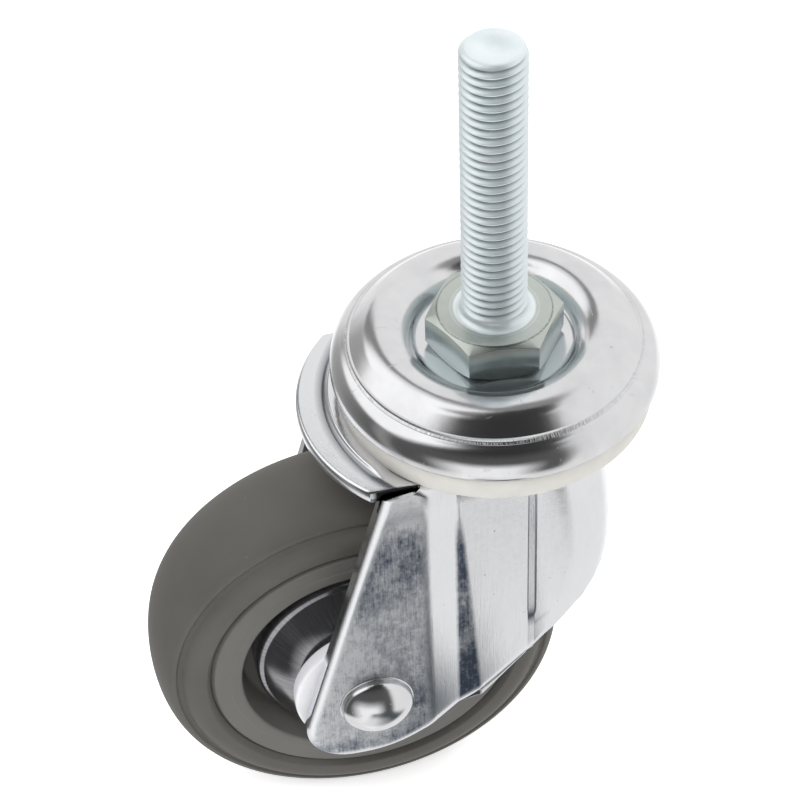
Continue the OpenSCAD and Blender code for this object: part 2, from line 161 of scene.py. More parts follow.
class ForkSizes(bpy.types.PropertyGroup):
    """Pressed steel fork."""

    sheet: length_prop("Sheet", "Sheet thickness of the fork", 2.8 * MM)
    half_width: length_prop("Half width", "Outside of a leg from the middle plane", 22.5 * MM)
    crown: length_prop("Crown", "Height of the crown's top face", -19.6 * MM, -0.1, 0.0)
    bend: length_prop("Bend", "Outer bend radius between the crown and the legs", 4.5 * MM)
    front: length_prop("Front", "Reach of the front wall", 19.4 * MM)
    front_round: length_prop("Front corners", "Plan radius of the front corners", 11.5 * MM)
    tongue_radius: length_prop("Tongue radius", "Radius of the crown's rear edge", 30.0 * MM)
    tongue_reach: length_prop("Tongue reach", "Reach of the crown behind the swivel axis",
                              36.6 * MM)
    tongue_half: length_prop("Tongue half width", "Half the width of the crown's rear",
                             21.2 * MM)
    collar: length_prop("Collar", "Height of the collar pressed round the seal", 0.7 * MM)
    collar_ring: length_prop("Collar ring", "Radius of the collar's flat top", 30.4 * MM)
    rolled_edge: length_prop("Rolled edge", "Rounding of the sheet's outer edges", 1.8 * MM)
    boss_ring: length_prop("Rivet ring", "Radius of the pressed ring round the rivet", 7.1 * MM)


class WheelSizes(bpy.types.PropertyGroup):
    """Wheel, hub caps, thread guards and axle rivet."""

    radius: length_prop("Radius", "Radius over the tread", width("tyre", "z") / 2)
    half_width: length_prop("Half width", "Half the tyre's width", width("tyre", "y") / 2)
    core_radius: length_prop("Core radius", "Radius of the joint between tyre and core",
                             width("wheel_core", "z") / 2)
    recess_radius: length_prop("Recess radius", "Radius of the recess beside the hub", 24 * MM)
    recess_floor: length_prop("Recess floor", "Half the web's thickness", 4 * MM)
    hub_cap_radius: length_prop("Hub cap radius", "Outer radius of the hub caps",
                                width("hub_cap_near", "z") / 2)
    hub_cap_edge: length_prop("Hub cap edge", "Distance of the hub cap's edge from the middle",
                              9.6 * MM)
    hub_cap_mouth: length_prop("Hub cap mouth", "Distance of the hub cap's mouth from the middle",
                               15.2 * MM)
    hub_cap_sheet: length_prop("Hub cap sheet", "Sheet thickness of the hub caps", 1 * MM)
    guard_radius: length_prop("Guard radius", "Radius of the thread guards",
                              width("thread_guard_near", "z") / 2 - 0.5 * MM)
    guard_outside: length_prop("Guard outside", "Distance of the guard's outside from the middle",
                               -low("thread_guard_near", "y"))
    guard_thickness: length_prop("Guard thickness", "Thickness of the guard's disc", 3.2 * MM)
    guard_flat: length_prop("Guard flat", "Distance of the guard's flat from the axle",
                            high("thread_guard_near", "x") - AXLE.x)
    rivet_radius: length_prop("Rivet head", "Radius of the rivet's domed heads",
                              width("axle_rivet", "z") / 2 - 0.45 * MM)
    rivet_end: length_prop("Rivet end", "Distance of the rivet's end from the middle",
                           high("axle_rivet", "y"))
    rivet_dome: length_prop("Rivet dome", "Height of the rivet's domed heads", 4 * MM)


class FinishColours(bpy.types.PropertyGroup):
    """Colours of the finishes."""

    bright_zinc: colour_prop("Bright zinc", "Swivel cap, hub caps and rivet", (0.86, 0.86, 0.87))
    stem_zinc: colour_prop("Stem zinc", "Thread of the stem", (0.82, 0.91, 0.93))
    hexagon: colour_prop("Hexagon zinc", "Hexagon under the stem", (0.58, 0.62, 0.58))
    # The hub caps' colours are painted darker than bright zinc, as painted shade and dark reflection in the
    # wheel's recess.
    hub_dark: colour_prop("Hub cap lines", "Dark lines of the hub caps", (0.30, 0.30, 0.32))
    hub_light: colour_prop("Hub cap", "Light areas of the hub caps", (0.44, 0.44, 0.46))
    fork_zinc: colour_prop("Fork zinc", "Light areas of the fork", (0.88, 0.89, 0.91))
    # Used for the zinc's dark spangle and also for the painted dark reflections on the fork's legs.
    fork_dark: colour_prop("Fork spangle", "Dark areas of the fork", (0.12, 0.15, 0.21))
    rubber: colour_prop("Rubber", "Tyre", (0.120, 0.114, 0.102))
    core: colour_prop("Wheel core", "Plastic core", (0.150, 0.146, 0.135))
    ivory: colour_prop("Ivory", "Dust seal", (0.70, 0.68, 0.64))
    white: colour_prop("White", "Thread guards", (0.90, 0.90, 0.94))
    steel: colour_prop("Steel", "Races, balls and bearings", (0.56, 0.56, 0.58))
    floor: colour_prop("Floor", "Studio floor", (0.93, 0.93, 0.93))


class StudioSettings(bpy.types.PropertyGroup):
    """Camera, floor and light."""

    camera_place: FloatVectorProperty(
        name="Camera", description="Where the camera stands", size=3, subtype="TRANSLATION",
        unit="LENGTH", default=(-86.994 * MM, -358.058 * MM, 342.600 * MM))
    camera_turn: angle_prop("Camera turn", "Camera's turn from the wheel's side", 10.95)
    camera_tilt: angle_prop("Camera tilt", "Camera's angle below the horizon", 44.774)
    camera_roll: angle_prop("Camera roll", "Camera's roll", -2.129)
    lens: FloatProperty(name="Lens", description="Focal length in millimetres for a 36 mm frame",
                        default=127.18, min=10.0, max=500.0)
    world_light: FloatProperty(name="World light", description="Brightness of the studio walls",
                               default=0.95, min=0.0, max=5.0)
    floor_glow: FloatProperty(name="Floor glow", description="Light that the floor gives back",
                              default=0.55, min=0.0, max=2.0)


GROUPS = {
    "castor_stem": StemSizes,
    "castor_head": HeadSizes,
    "castor_fork": ForkSizes,
    "castor_wheel": WheelSizes,
    "castor_colours": FinishColours,
    "castor_studio": StudioSettings,
}


# Shader building

class Shade:
    """A socket of a finish, with the arithmetic that the finishes use."""

    def __init__(self, finish, socket):
        self.finish = finish
        self.socket = socket

    def maths(self, operation, first, second=None):
        return self.finish.node("ShaderNodeMath", {"operation": operation},
                                {0: first, 1: second})

    def __add__(self, other):
        return self.maths("ADD", self, other)

    __radd__ = __add__

    def __sub__(self, other):
        return self.maths("SUBTRACT", self, other)

    def __rsub__(self, other):
        return self.maths("SUBTRACT", other, self)

    def __mul__(self, other):
        return self.maths("MULTIPLY", self, other)

    __rmul__ = __mul__

    def __truediv__(self, other):
        return self.maths("DIVIDE", self, other)

    def __pow__(self, other):
        return self.maths("POWER", self, other)

    def toward(self, value, share):
        """This value where share is 0, and the given one where it is 1."""
        return self + (value - self) * share

    def sine(self):
        return self.maths("SINE", self)

    def clamped(self):
        return self.finish.node("ShaderNodeClamp", {}, {"Value": self})

    def sector(self, start, end):
        """A band of an angle, between two angles in degrees."""
        return self.band(start * DEGREE, end * DEGREE)

    def window(self, start, full, fading, end):
        """0 up to start, 1 from full to fading, and 0 again from end."""
        return self.band(start, full) * (1 - self.band(fading, end))

    def band(self, start, end):
        """0 at start, 1 at end, straight between and level outside."""
        return self.finish.node("ShaderNodeMapRange", {"clamp": True},
                                {"Value": self, "From Min": start, "From Max": end})


class Finish:
    """A procedural material, with the nodes that feed its shader."""

    def __init__(self, name, tree=None):
        self.colours = bpy.context.scene.castor_colours
        if tree is None:
            self.material = bpy.data.materials.new(name)
            self.material.use_nodes = True
            tree = self.material.node_tree
            self.shader = tree.nodes["Principled BSDF"]
        self.tree = tree

    def node(self, kind, settings, inputs, output=0):
        """A node with its settings and inputs, seen through one of its outputs."""
        made = self.tree.nodes.new(kind)
        for name, value in settings.items():
            setattr(made, name, value)
        for name, value in inputs.items():
            self.feed(made.inputs[name], value)
        return Shade(self, made.outputs[output])

    def feed(self, socket, value):
        if isinstance(value, Shade):
            self.tree.links.new(value.socket, socket)
        elif value is not None:
            as_colour = socket.type == "RGBA" and len(value) == 3
            socket.default_value = (*value, 1) if as_colour else value

    def set(self, **values):
        """Feeds the shader's sockets, named with _ for spaces."""
        for name, value in values.items():
            self.feed(self.shader.inputs[name.replace("_", " ")], value)

    def place(self, stretch=(1, 1, 1), centre=(0, 0, 0), turn=(0, 0, 0)):
        """Object coordinates, moved by -centre, turned, and scaled."""
        coords = self.node("ShaderNodeTexCoord", {}, {}, "Object")
        moved = self.node("ShaderNodeVectorMath", {"operation": "SUBTRACT"},
                          {0: coords, 1: centre})
        return self.node("ShaderNodeMapping", {}, {"Vector": moved, "Rotation": turn,
                                                   "Scale": stretch})

    def split(self, vector):
        """The three coordinates of a vector."""
        return [self.node("ShaderNodeSeparateXYZ", {}, {"Vector": vector}, i) for i in range(3)]

    def axes(self, centre=(0, 0, 0)):
        """The three coordinates measured from centre."""
        return self.split(self.place(centre=centre))

    def axes_and_radius(self):
        """The three coordinates and the distance from the stem's axis."""
        x, y, z = self.axes()
        return x, y, z, (x * x + y * y) ** 0.5

    def angle(self, across, along):
        return self.node("ShaderNodeMath", {"operation": "ARCTAN2"}, {0: across, 1: along})

    def cloud(self, vector, scale, detail, rough=0.5):
        """Noise from 0 to 1 in the space of a vector."""
        return self.node("ShaderNodeTexNoise", {}, {"Vector": vector, "Scale": scale,
                                                    "Detail": detail, "Roughness": rough}, "Fac")

    def noise(self, size, detail=3.0, rough=0.55, stretch=(1, 1, 1)):
        """Noise from 0 to 1 with features of about the given size."""
        return self.cloud(self.place(stretch), 1 / size, detail, rough)

    def wound(self, angle, along):
        """A vector of an angle and a length, for noise that follows a round piece."""
        return self.node("ShaderNodeCombineXYZ", {}, {"X": angle, "Y": along})

    def mix(self, share, first, second):
        """A colour from first to second."""
        return self.node("ShaderNodeMix", {"data_type": "RGBA"},
                         {"Factor": share, 6: first, 7: second}, 2)

    def bump(self, height, depth, strength, under=None):
        return self.node("ShaderNodeBump", {}, {
            "Height": height, "Distance": depth, "Strength": strength, "Normal": under})

    def waviness(self, size, depth, grain):
        """Normals of rolled sheet: long waves with a fine grain on them."""
        waves = self.bump(self.noise(size, 2.0), depth, 0.35)
        return self.bump(self.noise(0.35 * MM), grain, 0.5, waves)

    def plated(self, tone, rough, normal):
        """Sets the shader of bare or plated metal."""
        self.set(Metallic=1.0, Base_Color=tone, Roughness=rough, Normal=normal)
        return self.material


FINISHES = {}


def finish_of(make):
    """The material that a finish function makes, made once."""
    if make.__name__ not in FINISHES:
        FINISHES[make.__name__] = make()
    return FINISHES[make.__name__]


def scratches(finish, size, share):
    """Thin random scratches: 1 on a scratch and 0 beside it."""
    long_way = finish.noise(size, 2.0, 0.5, (1, 0.12, 1)).band(share, share + 0.03)
    cross_way = finish.noise(size, 2.0, 0.5, (0.12, 1, 0.5)).band(share, share + 0.03)
    return (long_way + cross_way).clamped()


def bright_zinc():
    """Bright plated steel that mirrors the studio, with faint handling marks."""
    made = Finish("bright_zinc")
    haze = made.noise(9 * MM)
    marks = scratches(made, 1.1 * MM, 0.70)
    tone = made.mix((haze.band(0.35, 0.75) * 0.5 + marks * 0.2).clamped(),
                    made.colours.bright_zinc, (0.72, 0.72, 0.74))
    return made.plated(tone, haze * 0.10 + marks * 0.15 + 0.11,
                       made.waviness(5 * MM, 0.10 * MM, 0.006 * MM))


def hub_zinc_in_painted_shade():
    """Plated hub cap, painted darker than bright zinc for the shade and dark reflections in the wheel's recess,
    and drawn in fine lines from its mouth to its edge.
    """
    made = Finish("hub_zinc_in_painted_shade")
    x, y, z = made.axes(AXLE)
    lines = made.cloud(made.wound(made.angle(z, x) * 14, y * 60), 3.0, 4.0)
    haze = made.noise(6 * MM)
    tone = made.mix((lines.band(0.35, 0.75) * 0.8 + haze * 0.2).clamped(),
                    made.colours.hub_dark, made.colours.hub_light)
    return made.plated(tone, lines * 0.10 + haze * 0.1 + 0.08,
                       made.bump(lines, 0.02 * MM, 0.4))


def cap_zinc():
    """Bright zinc with the fine ticks that the closing tool leaves along the bead."""
    made = Finish("cap_zinc")
    x, y, z, radius = made.axes_and_radius()
    haze = made.noise(8 * MM)
    marks = scratches(made, 1.0 * MM, 0.71)
    specks = made.noise(0.9 * MM, 1.0).band(0.76, 0.79) * radius.band(9 * MM, 12 * MM)
    bead = bead_ring(bpy.context.scene.castor_head)
    on_bead = radius.window(bead - 0.45 * MM, bead - 0.3 * MM, bead + 0.15 * MM, bead + 0.3 * MM)
    ticks = made.cloud(made.wound(made.angle(y, x) * 95, radius * 300), 1.0, 2.0)
    ticks = ticks.band(0.45, 0.62) * on_bead
    worn = (haze.band(0.35, 0.75) * 0.4 + marks * 0.15 + ticks * 0.4 + specks * 0.6).clamped()
    tone = made.mix(worn, made.colours.bright_zinc, (0.60, 0.60, 0.62))
    return made.plated(tone, haze * 0.10 + marks * 0.12 + 0.12,
                       made.bump(ticks, 0.03 * MM, 0.8,
                                 made.waviness(6 * MM, 0.09 * MM, 0.005 * MM)))


def stem_zinc():
    """Rolled thread in blue-white zinc, with painted shade in its grooves, over a duller, turned hexagon."""
    stem = bpy.context.scene.castor_stem
    made = Finish("stem_zinc")
    x, y, z, radius = made.axes_and_radius()
    cloud = made.noise(4 * MM)
    patches = cloud.band(0.3, 0.7)
    grain = made.noise(0.5 * MM, 3.0, 0.6, (1, 1, 3))
    # Painted shade: the thread's grooves are darkened towards a dark blue-grey, where shade falls between the
    # crests.
    groove = (1 - radius.band(stem.radius - stem.depth, stem.radius - 0.4 * MM)) * (
        1 - z.band(stem.length - 1.0 * MM, stem.length - 0.6 * MM))
    thread = made.mix((patches * 0.6 + grain.band(0.45, 0.75) * 0.3).clamped(),
                      made.colours.stem_zinc, (0.96, 0.99, 1.0))
    thread = made.mix(groove * 0.75, thread, (0.24, 0.31, 0.33))
    turned = (radius * (math.tau / TURNING_PITCH)).sine().band(-1, 1)
    face = z.band(-0.5 * MM, -0.3 * MM)
    hexagon = made.mix((turned * face * 0.3 + patches * 0.5).clamped(),
                       made.colours.hexagon, (0.72, 0.76, 0.72))
    edge, ring = stem.hex_face, HEX_RING
    line = radius.window(edge - 0.15 * MM, edge, edge + 0.1 * MM, edge + 0.3 * MM)
    circle = radius.window(ring - 0.15 * MM, ring, ring + 0.05 * MM, ring + 0.2 * MM)
    hexagon = made.mix((line * face * grain.band(0.3, 0.5) * 0.75).clamped(), hexagon,
                       (0.20, 0.22, 0.20))
    hexagon = made.mix((circle * face * 0.5).clamped(), hexagon, (0.90, 0.92, 0.90))
    hexagon = made.mix((1 - z.band(-3 * MM, -1.5 * MM)) * 0.7, hexagon, (0.50, 0.60, 0.63))
    outside = radius.band(7.2 * MM, 7.6 * MM)
    low_part = (1 - z.band(0, 0.2 * MM)) * outside + (1 - z.band(-1.2 * MM, -MM)) * (1 - outside)
    low_part = low_part.clamped()
    made.set(Metallic=low_part * 0.28 + 0.72, Base_Color=made.mix(low_part, thread, hexagon),
             Roughness=cloud * 0.14 + grain * 0.14 + 0.27 - low_part * 0.06,
             Normal=made.bump(grain, 0.02 * MM, 0.5))
    return made.material


def beyond(x, z, start, end):
    """Distance of (x, z) from the line through two places of the fork's outline."""
    along = (end - start).normalized()
    return (z - start.y) * along.x - (x - start.x) * along.y


def fork_zinc():
    """Zinc plated sheet: mottled, drawn in fine upright lines, with small dark specks; painted dark reflections on
    the legs and beside the seal, and painted shade in the slits.
    """
    made = Finish("fork_zinc")
    x, y, z, radius = made.axes_and_radius()
    side = made.node("ShaderNodeMath", {"operation": "ABSOLUTE"}, {0: y})
    blotch = made.noise(5 * MM, 6.0, 0.72, (1, 1, 0.6))
    flakes = made.noise(1.1 * MM, 6.0, 0.75, (1, 1, 0.7))
    upright = made.noise(0.30 * MM, 2.0, 0.5, (1, 1, 0.05))
    slanted = made.cloud(made.place((1, 1, 0.06), turn=(0, 34 * DEGREE, 0)), 1 / (0.30 * MM), 3.0)
    foot = beyond(x, z, FOOT_REAR, FOOT_FRONT)
    rim = 1 - beyond(x, z, REAR_TOP, FOOT_REAR).band(1.2 * MM, 2.3 * MM) * (
        foot.band(1.0 * MM, 2.2 * MM)) * (
        beyond(x, z, FOOT_FRONT, RISE_MIDDLE).band(1.0 * MM, 2.2 * MM))
    panel = (1 - x.band(-19.6 * MM, -17.4 * MM)) * (1 - z.band(DRAWN_TOP, DRAWN_TOP + 4 * MM))
    drawn = 1 - z.band(DRAWN_TOP - DRAWN_TALL, DRAWN_TOP)
    across = x - VALLEY_REAR - drawn * VALLEY_SPREAD
    valley = x.band(VALLEY_REAR - 0.8 * MM, VALLEY_REAR) * (
        1 - across.band(0.1 * MM, 1.0 * MM)) * (1 - z.band(-38 * MM, -30 * MM))
    flat_part = (panel + valley).clamped() * (1 - rim)
    # Painted reflections: the middle, corner, sole and valley zones darken set parts of the legs towards the dark
    # colour, for the dark studio that the legs mirror. The blotches, flakes and brushing mixed in with them are
    # the zinc's own mottle.
    middle = (1 - z.band(-34 * MM, -28 * MM)) * z.band(-53 * MM, -45 * MM)
    corner = (1 - z.band(-76 * MM, -68 * MM)) * x.band(-27 * MM, -22 * MM)
    sole = 1 - foot.band(4.0 * MM, 6.0 * MM)
    places = (middle * 0.36 + corner * 0.40 + sole * 0.40 + valley * 0.60).clamped()
    brushed = (upright.band(0.40, 0.64) * 0.5 + slanted.band(0.46, 0.68) * 0.6).clamped()
    mottle = (blotch.band(0.34, 0.66) * 0.55 + flakes.band(0.36, 0.68) * 0.55).clamped()
    mottle_and_painted_reflections = ((mottle * 1.05 + places * 0.95 + brushed * 0.30 - 0.48).clamped()
            * (flat_part * 0.95 + 0.05))
    specks = made.noise(1.1 * MM, 1.0, 0.5).band(0.77, 0.80) * 0.35 * (1 - flat_part)
    tone = made.mix((mottle_and_painted_reflections + specks).clamped(), made.colours.fork_zinc, made.colours.fork_dark)
    # Painted shade: inside the slits between the crown and the legs, the zinc is darkened to near black where the
    # gap lies in shadow.
    slit = (x.window(-27.4 * MM, -26.6 * MM, -19.2 * MM, -18.9 * MM)
            * side.window(21.0 * MM, 21.1 * MM, 21.8 * MM, 21.9 * MM)
            * z.window(-23.2 * MM, -22.6 * MM, -19.9 * MM, -19.7 * MM))
    tone = made.mix(slit.clamped(), tone, (0.02, 0.02, 0.02))
    # Painted reflection: a dark ring on the crown's rear beside the seal stands for the shadowed seal and cap that
    # the plate mirrors.
    painted_reflection_ring = radius.window(30.9 * MM, 31.2 * MM, 31.5 * MM, 33.2 * MM) * (
        z.band(-20 * MM, -19.8 * MM)) * (1 - x.band(-22.5 * MM, -20.5 * MM))
    tone = made.mix(painted_reflection_ring * 0.85, tone, (0.22, 0.23, 0.25))
    lines = made.bump(upright + slanted * 0.6, 0.015 * MM, 0.5,
                      made.bump(blotch, 0.10 * MM, 0.35))
    rough = flat_part * 0.22 + (1 - mottle_and_painted_reflections) * flat_part * 0.16 + upright * 0.06 + 0.13
    return made.plated(tone, rough, made.bump(flakes, 0.012 * MM, 0.6, lines))


def rubber():
    """Soft grey rubber with a faint moulding haze and a little dust."""
    made = Finish("rubber")
    colour = made.colours.rubber
    cloud = made.noise(14 * MM)
    dust = made.noise(1.0 * MM, 1.0).band(0.79, 0.81) * 0.2
    tone = made.mix(cloud.band(0.3, 0.75), darker(colour, 0.86), colour)
    made.set(Base_Color=made.mix(dust, tone, (0.36, 0.35, 0.32)), Roughness=cloud * 0.12 + 0.50,
             Normal=made.bump(made.noise(0.5 * MM, 3.0, 0.6), 0.02 * MM, 0.4),
             Specular_IOR_Level=0.35)
    return made.material


def darker(colour, share):
    return tuple(channel * share for channel in colour)


def moulded(name, colour, dark, size, haze, polish, grain, depth, **more):
    """A moulded plastic: cloudy between a darker shade and its colour, with a fine grain."""
    made = Finish(name)
    cloud = made.noise(size)
    made.set(Base_Color=made.mix(cloud.band(0.3, 0.7), darker(colour, dark), colour),
             Roughness=cloud * haze + polish,
             Normal=made.bump(made.noise(grain, 2.0), depth, 0.4), **more)
    return made.material


def core_plastic():
    """Moulded grey plastic of the wheel's core."""
    return moulded("core_plastic", bpy.context.scene.castor_colours.core, 0.9,
                   9 * MM, 0.12, 0.42, 0.4 * MM, 0.015 * MM)


def ivory_plastic():
    """Pale moulded plastic of the dust seal."""
    return moulded("ivory_plastic", bpy.context.scene.castor_colours.ivory, 0.88,
                   7 * MM, 0.15, 0.35, 0.5 * MM, 0.01 * MM,
                   Subsurface_Weight=0.08, Subsurface_Scale=0.5 * MM)


def white_plastic():
    """White nylon of the thread guards."""
    return moulded("white_plastic", bpy.context.scene.castor_colours.white, 0.93,
                   6 * MM, 0.15, 0.32, 0.6 * MM, 0.01 * MM,
                   Subsurface_Weight=0.10, Subsurface_Scale=0.6 * MM)


def race_steel():
    """Hardened steel of the races, balls and bearings, with a film of grease."""
    made = Finish("race_steel")
    film = made.noise(2.5 * MM)
    tone = made.mix(film.band(0.4, 0.7) * 0.5, made.colours.steel, (0.40, 0.38, 0.34))
    return made.plated(tone, film * 0.2 + 0.18, made.bump(made.noise(0.5 * MM, 2.0), 0.01 * MM, 0.4))


# Modelling helpers

def deselect():
    if bpy.context.object and bpy.context.object.mode != "OBJECT":
        bpy.ops.object.mode_set(mode="OBJECT")
    bpy.ops.object.select_all(action="DESELECT")


def make_active(piece):
    deselect()
    piece.select_set(True)
    bpy.context.view_layer.objects.active = piece


def named(name):
    """Names the object that was just added."""
    piece = bpy.context.object
    piece.name = name
    piece.data.name = name
    return piece


def placed(name, scale=(1, 1, 1)):
    """Names the object that was just added, and moves its place and scale into its mesh."""
    piece = named(name)
    piece.scale = scale
    bpy.ops.object.transform_apply(location=True, rotation=True, scale=True)
    return piece


def hexagonal(name, corner, bottom, top, turn):
    """A plain hexagonal block round the stem's axis."""
    deselect()
    bpy.ops.mesh.primitive_cylinder_add(vertices=6, radius=corner, depth=top - bottom,
                                        location=(0, 0, (top + bottom) / 2),
                                        rotation=(0, 0, turn))
    return placed(name)


def close_mesh(fill=False):
    """Merges the edited mesh's doubles, turns its faces outward and leaves edit mode."""
    bpy.ops.mesh.select_all(action="SELECT")
    bpy.ops.mesh.remove_doubles(threshold=MERGE)
    if fill:
        bpy.ops.mesh.fill_holes(sides=0)
    bpy.ops.mesh.select_all(action="SELECT")
    bpy.ops.mesh.normals_make_consistent(inside=False)
    bpy.ops.object.mode_set(mode="OBJECT")


def limited(value, lowest=0.0, highest=1.0):
    return min(max(value, lowest), highest)


def eased(share):
    """A share from 0 to 1 that starts and ends gently."""
    return share * share * (3 - 2 * share)


def mirrored(half):
    """The other side of a profile's half, without its two ends."""
    return [(r, -h) for r, h in reversed(half[1:-1])]


def arc(centre, radius, start, end, steps):
    """Points of an arc in a profile, from start to end in degrees."""
    turns = [math.radians(start + (end - start) * i / steps) for i in range(steps + 1)]
    return [(centre[0] + radius * math.cos(a), centre[1] + radius * math.sin(a)) for a in turns]


def rounded(corners, steps=4):
    """A line through (x, y, radius) corners, each rounded by its radius."""
    line = [corners[0][:2]]
    for before, corner, after in zip(corners, corners[1:], corners[2:]):
        here, radius = Vector(corner[:2]), corner[2]
        a = (Vector(before[:2]) - here).normalized()
        b = (Vector(after[:2]) - here).normalized()
        half = a.angle(b) / 2
        if radius <= 0:
            line.append(tuple(here))
            continue
        if half > NEARLY_STRAIGHT:
            near, after = here + a * radius * 0.019, here + b * radius * 0.019
            line += [tuple(near.lerp(after, i / steps)) for i in range(steps + 1)]
            continue
        reach = radius / math.tan(half)
        centre = here + (a + b).normalized() * radius / math.sin(half)
        p, q = here + a * reach - centre, here + b * reach - centre
        turn = p.angle_signed(q)
        for i in range(steps + 1):
            line.append(tuple(centre + Matrix.Rotation(-turn * i / steps, 2) @ p))
    return line + [corners[-1][:2]]


def draw_line(name, points, place, closed=False):
    """Draws a profile by extruding a point along it; place turns (u, v) into a 3D point."""
    deselect()
    bpy.ops.mesh.primitive_plane_add(size=MM)
    piece = named(name)
    bpy.ops.object.mode_set(mode="EDIT")
    bpy.ops.mesh.select_mode(type="VERT")
    bpy.ops.mesh.merge(type="CENTER")
    spots = [place(*p) for p in points]
    bpy.ops.transform.translate(value=spots[0])
    for here, there in zip(spots, spots[1:]):
        bpy.ops.mesh.extrude_vertices_move(TRANSFORM_OT_translate={"value": there - here})
    if closed:
        bpy.ops.mesh.select_all(action="SELECT")
        bpy.ops.mesh.select_non_manifold(extend=False, use_wire=False, use_boundary=False)
        shape = bmesh.from_edit_mesh(piece.data)
        for vertex in shape.verts:
            vertex.select = len(vertex.link_edges) == 1
        shape.select_flush_mode()
        bmesh.update_edit_mesh(piece.data)
        bpy.ops.mesh.edge_face_add()
    return piece


def lathe(name, profile, steps=128, axle=None, side=1, closed=True):
    """Turns a profile of (radius, height): round the stem, or round the axle if one is given.
    On the axle, height is the distance from the middle plane, towards side (-1 is near)."""
    if axle is None:
        centre, axis = Vector((0, 0, 0)), AXIS_Z
        place = lambda r, h: Vector((r, 0, h))  # noqa: E731
    else:
        centre, axis = axle, Vector((0, 1, 0))
        place = lambda r, h: axle + Vector((0, side * h, r))  # noqa: E731
    piece = draw_line(name, profile, place, closed)
    bpy.ops.mesh.select_all(action="SELECT")
    bpy.ops.mesh.spin(steps=steps, angle=math.tau, center=centre, axis=axis)
    close_mesh()
    return piece


def modify(piece, kind, **settings):
    """Adds a modifier and applies it."""
    make_active(piece)
    modifier = piece.modifiers.new(kind.lower(), kind)
    for name, value in settings.items():
        setattr(modifier, name, value)
    bpy.ops.object.modifier_apply(modifier=modifier.name)
    return piece


def round_edges(piece, radius, steps=3, angle=35):
    return modify(piece, "BEVEL", width=radius, segments=steps, limit_method="ANGLE",
                  angle_limit=math.radians(angle), use_clamp_overlap=True)


def cut_with(piece, tool, operation):
    modify(piece, "BOOLEAN", object=tool, operation=operation, solver="EXACT")
    bpy.data.objects.remove(tool)
    return piece


def join(pieces, name):
    """Joins closed shells of one piece, which touch or overlap, into one object."""
    make_active(pieces[0])
    for piece in pieces[1:]:
        piece.select_set(True)
    bpy.ops.object.join()
    return named(name)


def complete(piece, make, body, slot, *nodes, angle=SMOOTH_ANGLE):
    """Gives a piece its shading and finish, sets it on its body and hides the CAD nodes that it stands for; the
    slot is not used.
    """
    make_active(piece)
    bpy.ops.object.shade_smooth_by_angle(angle=angle)
    piece.data.materials.append(finish_of(make))
    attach(piece, body)
    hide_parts(*nodes)
    return piece


class CastorOperator:
    """What the castor's operators share."""

    bl_options = {"REGISTER", "UNDO"}


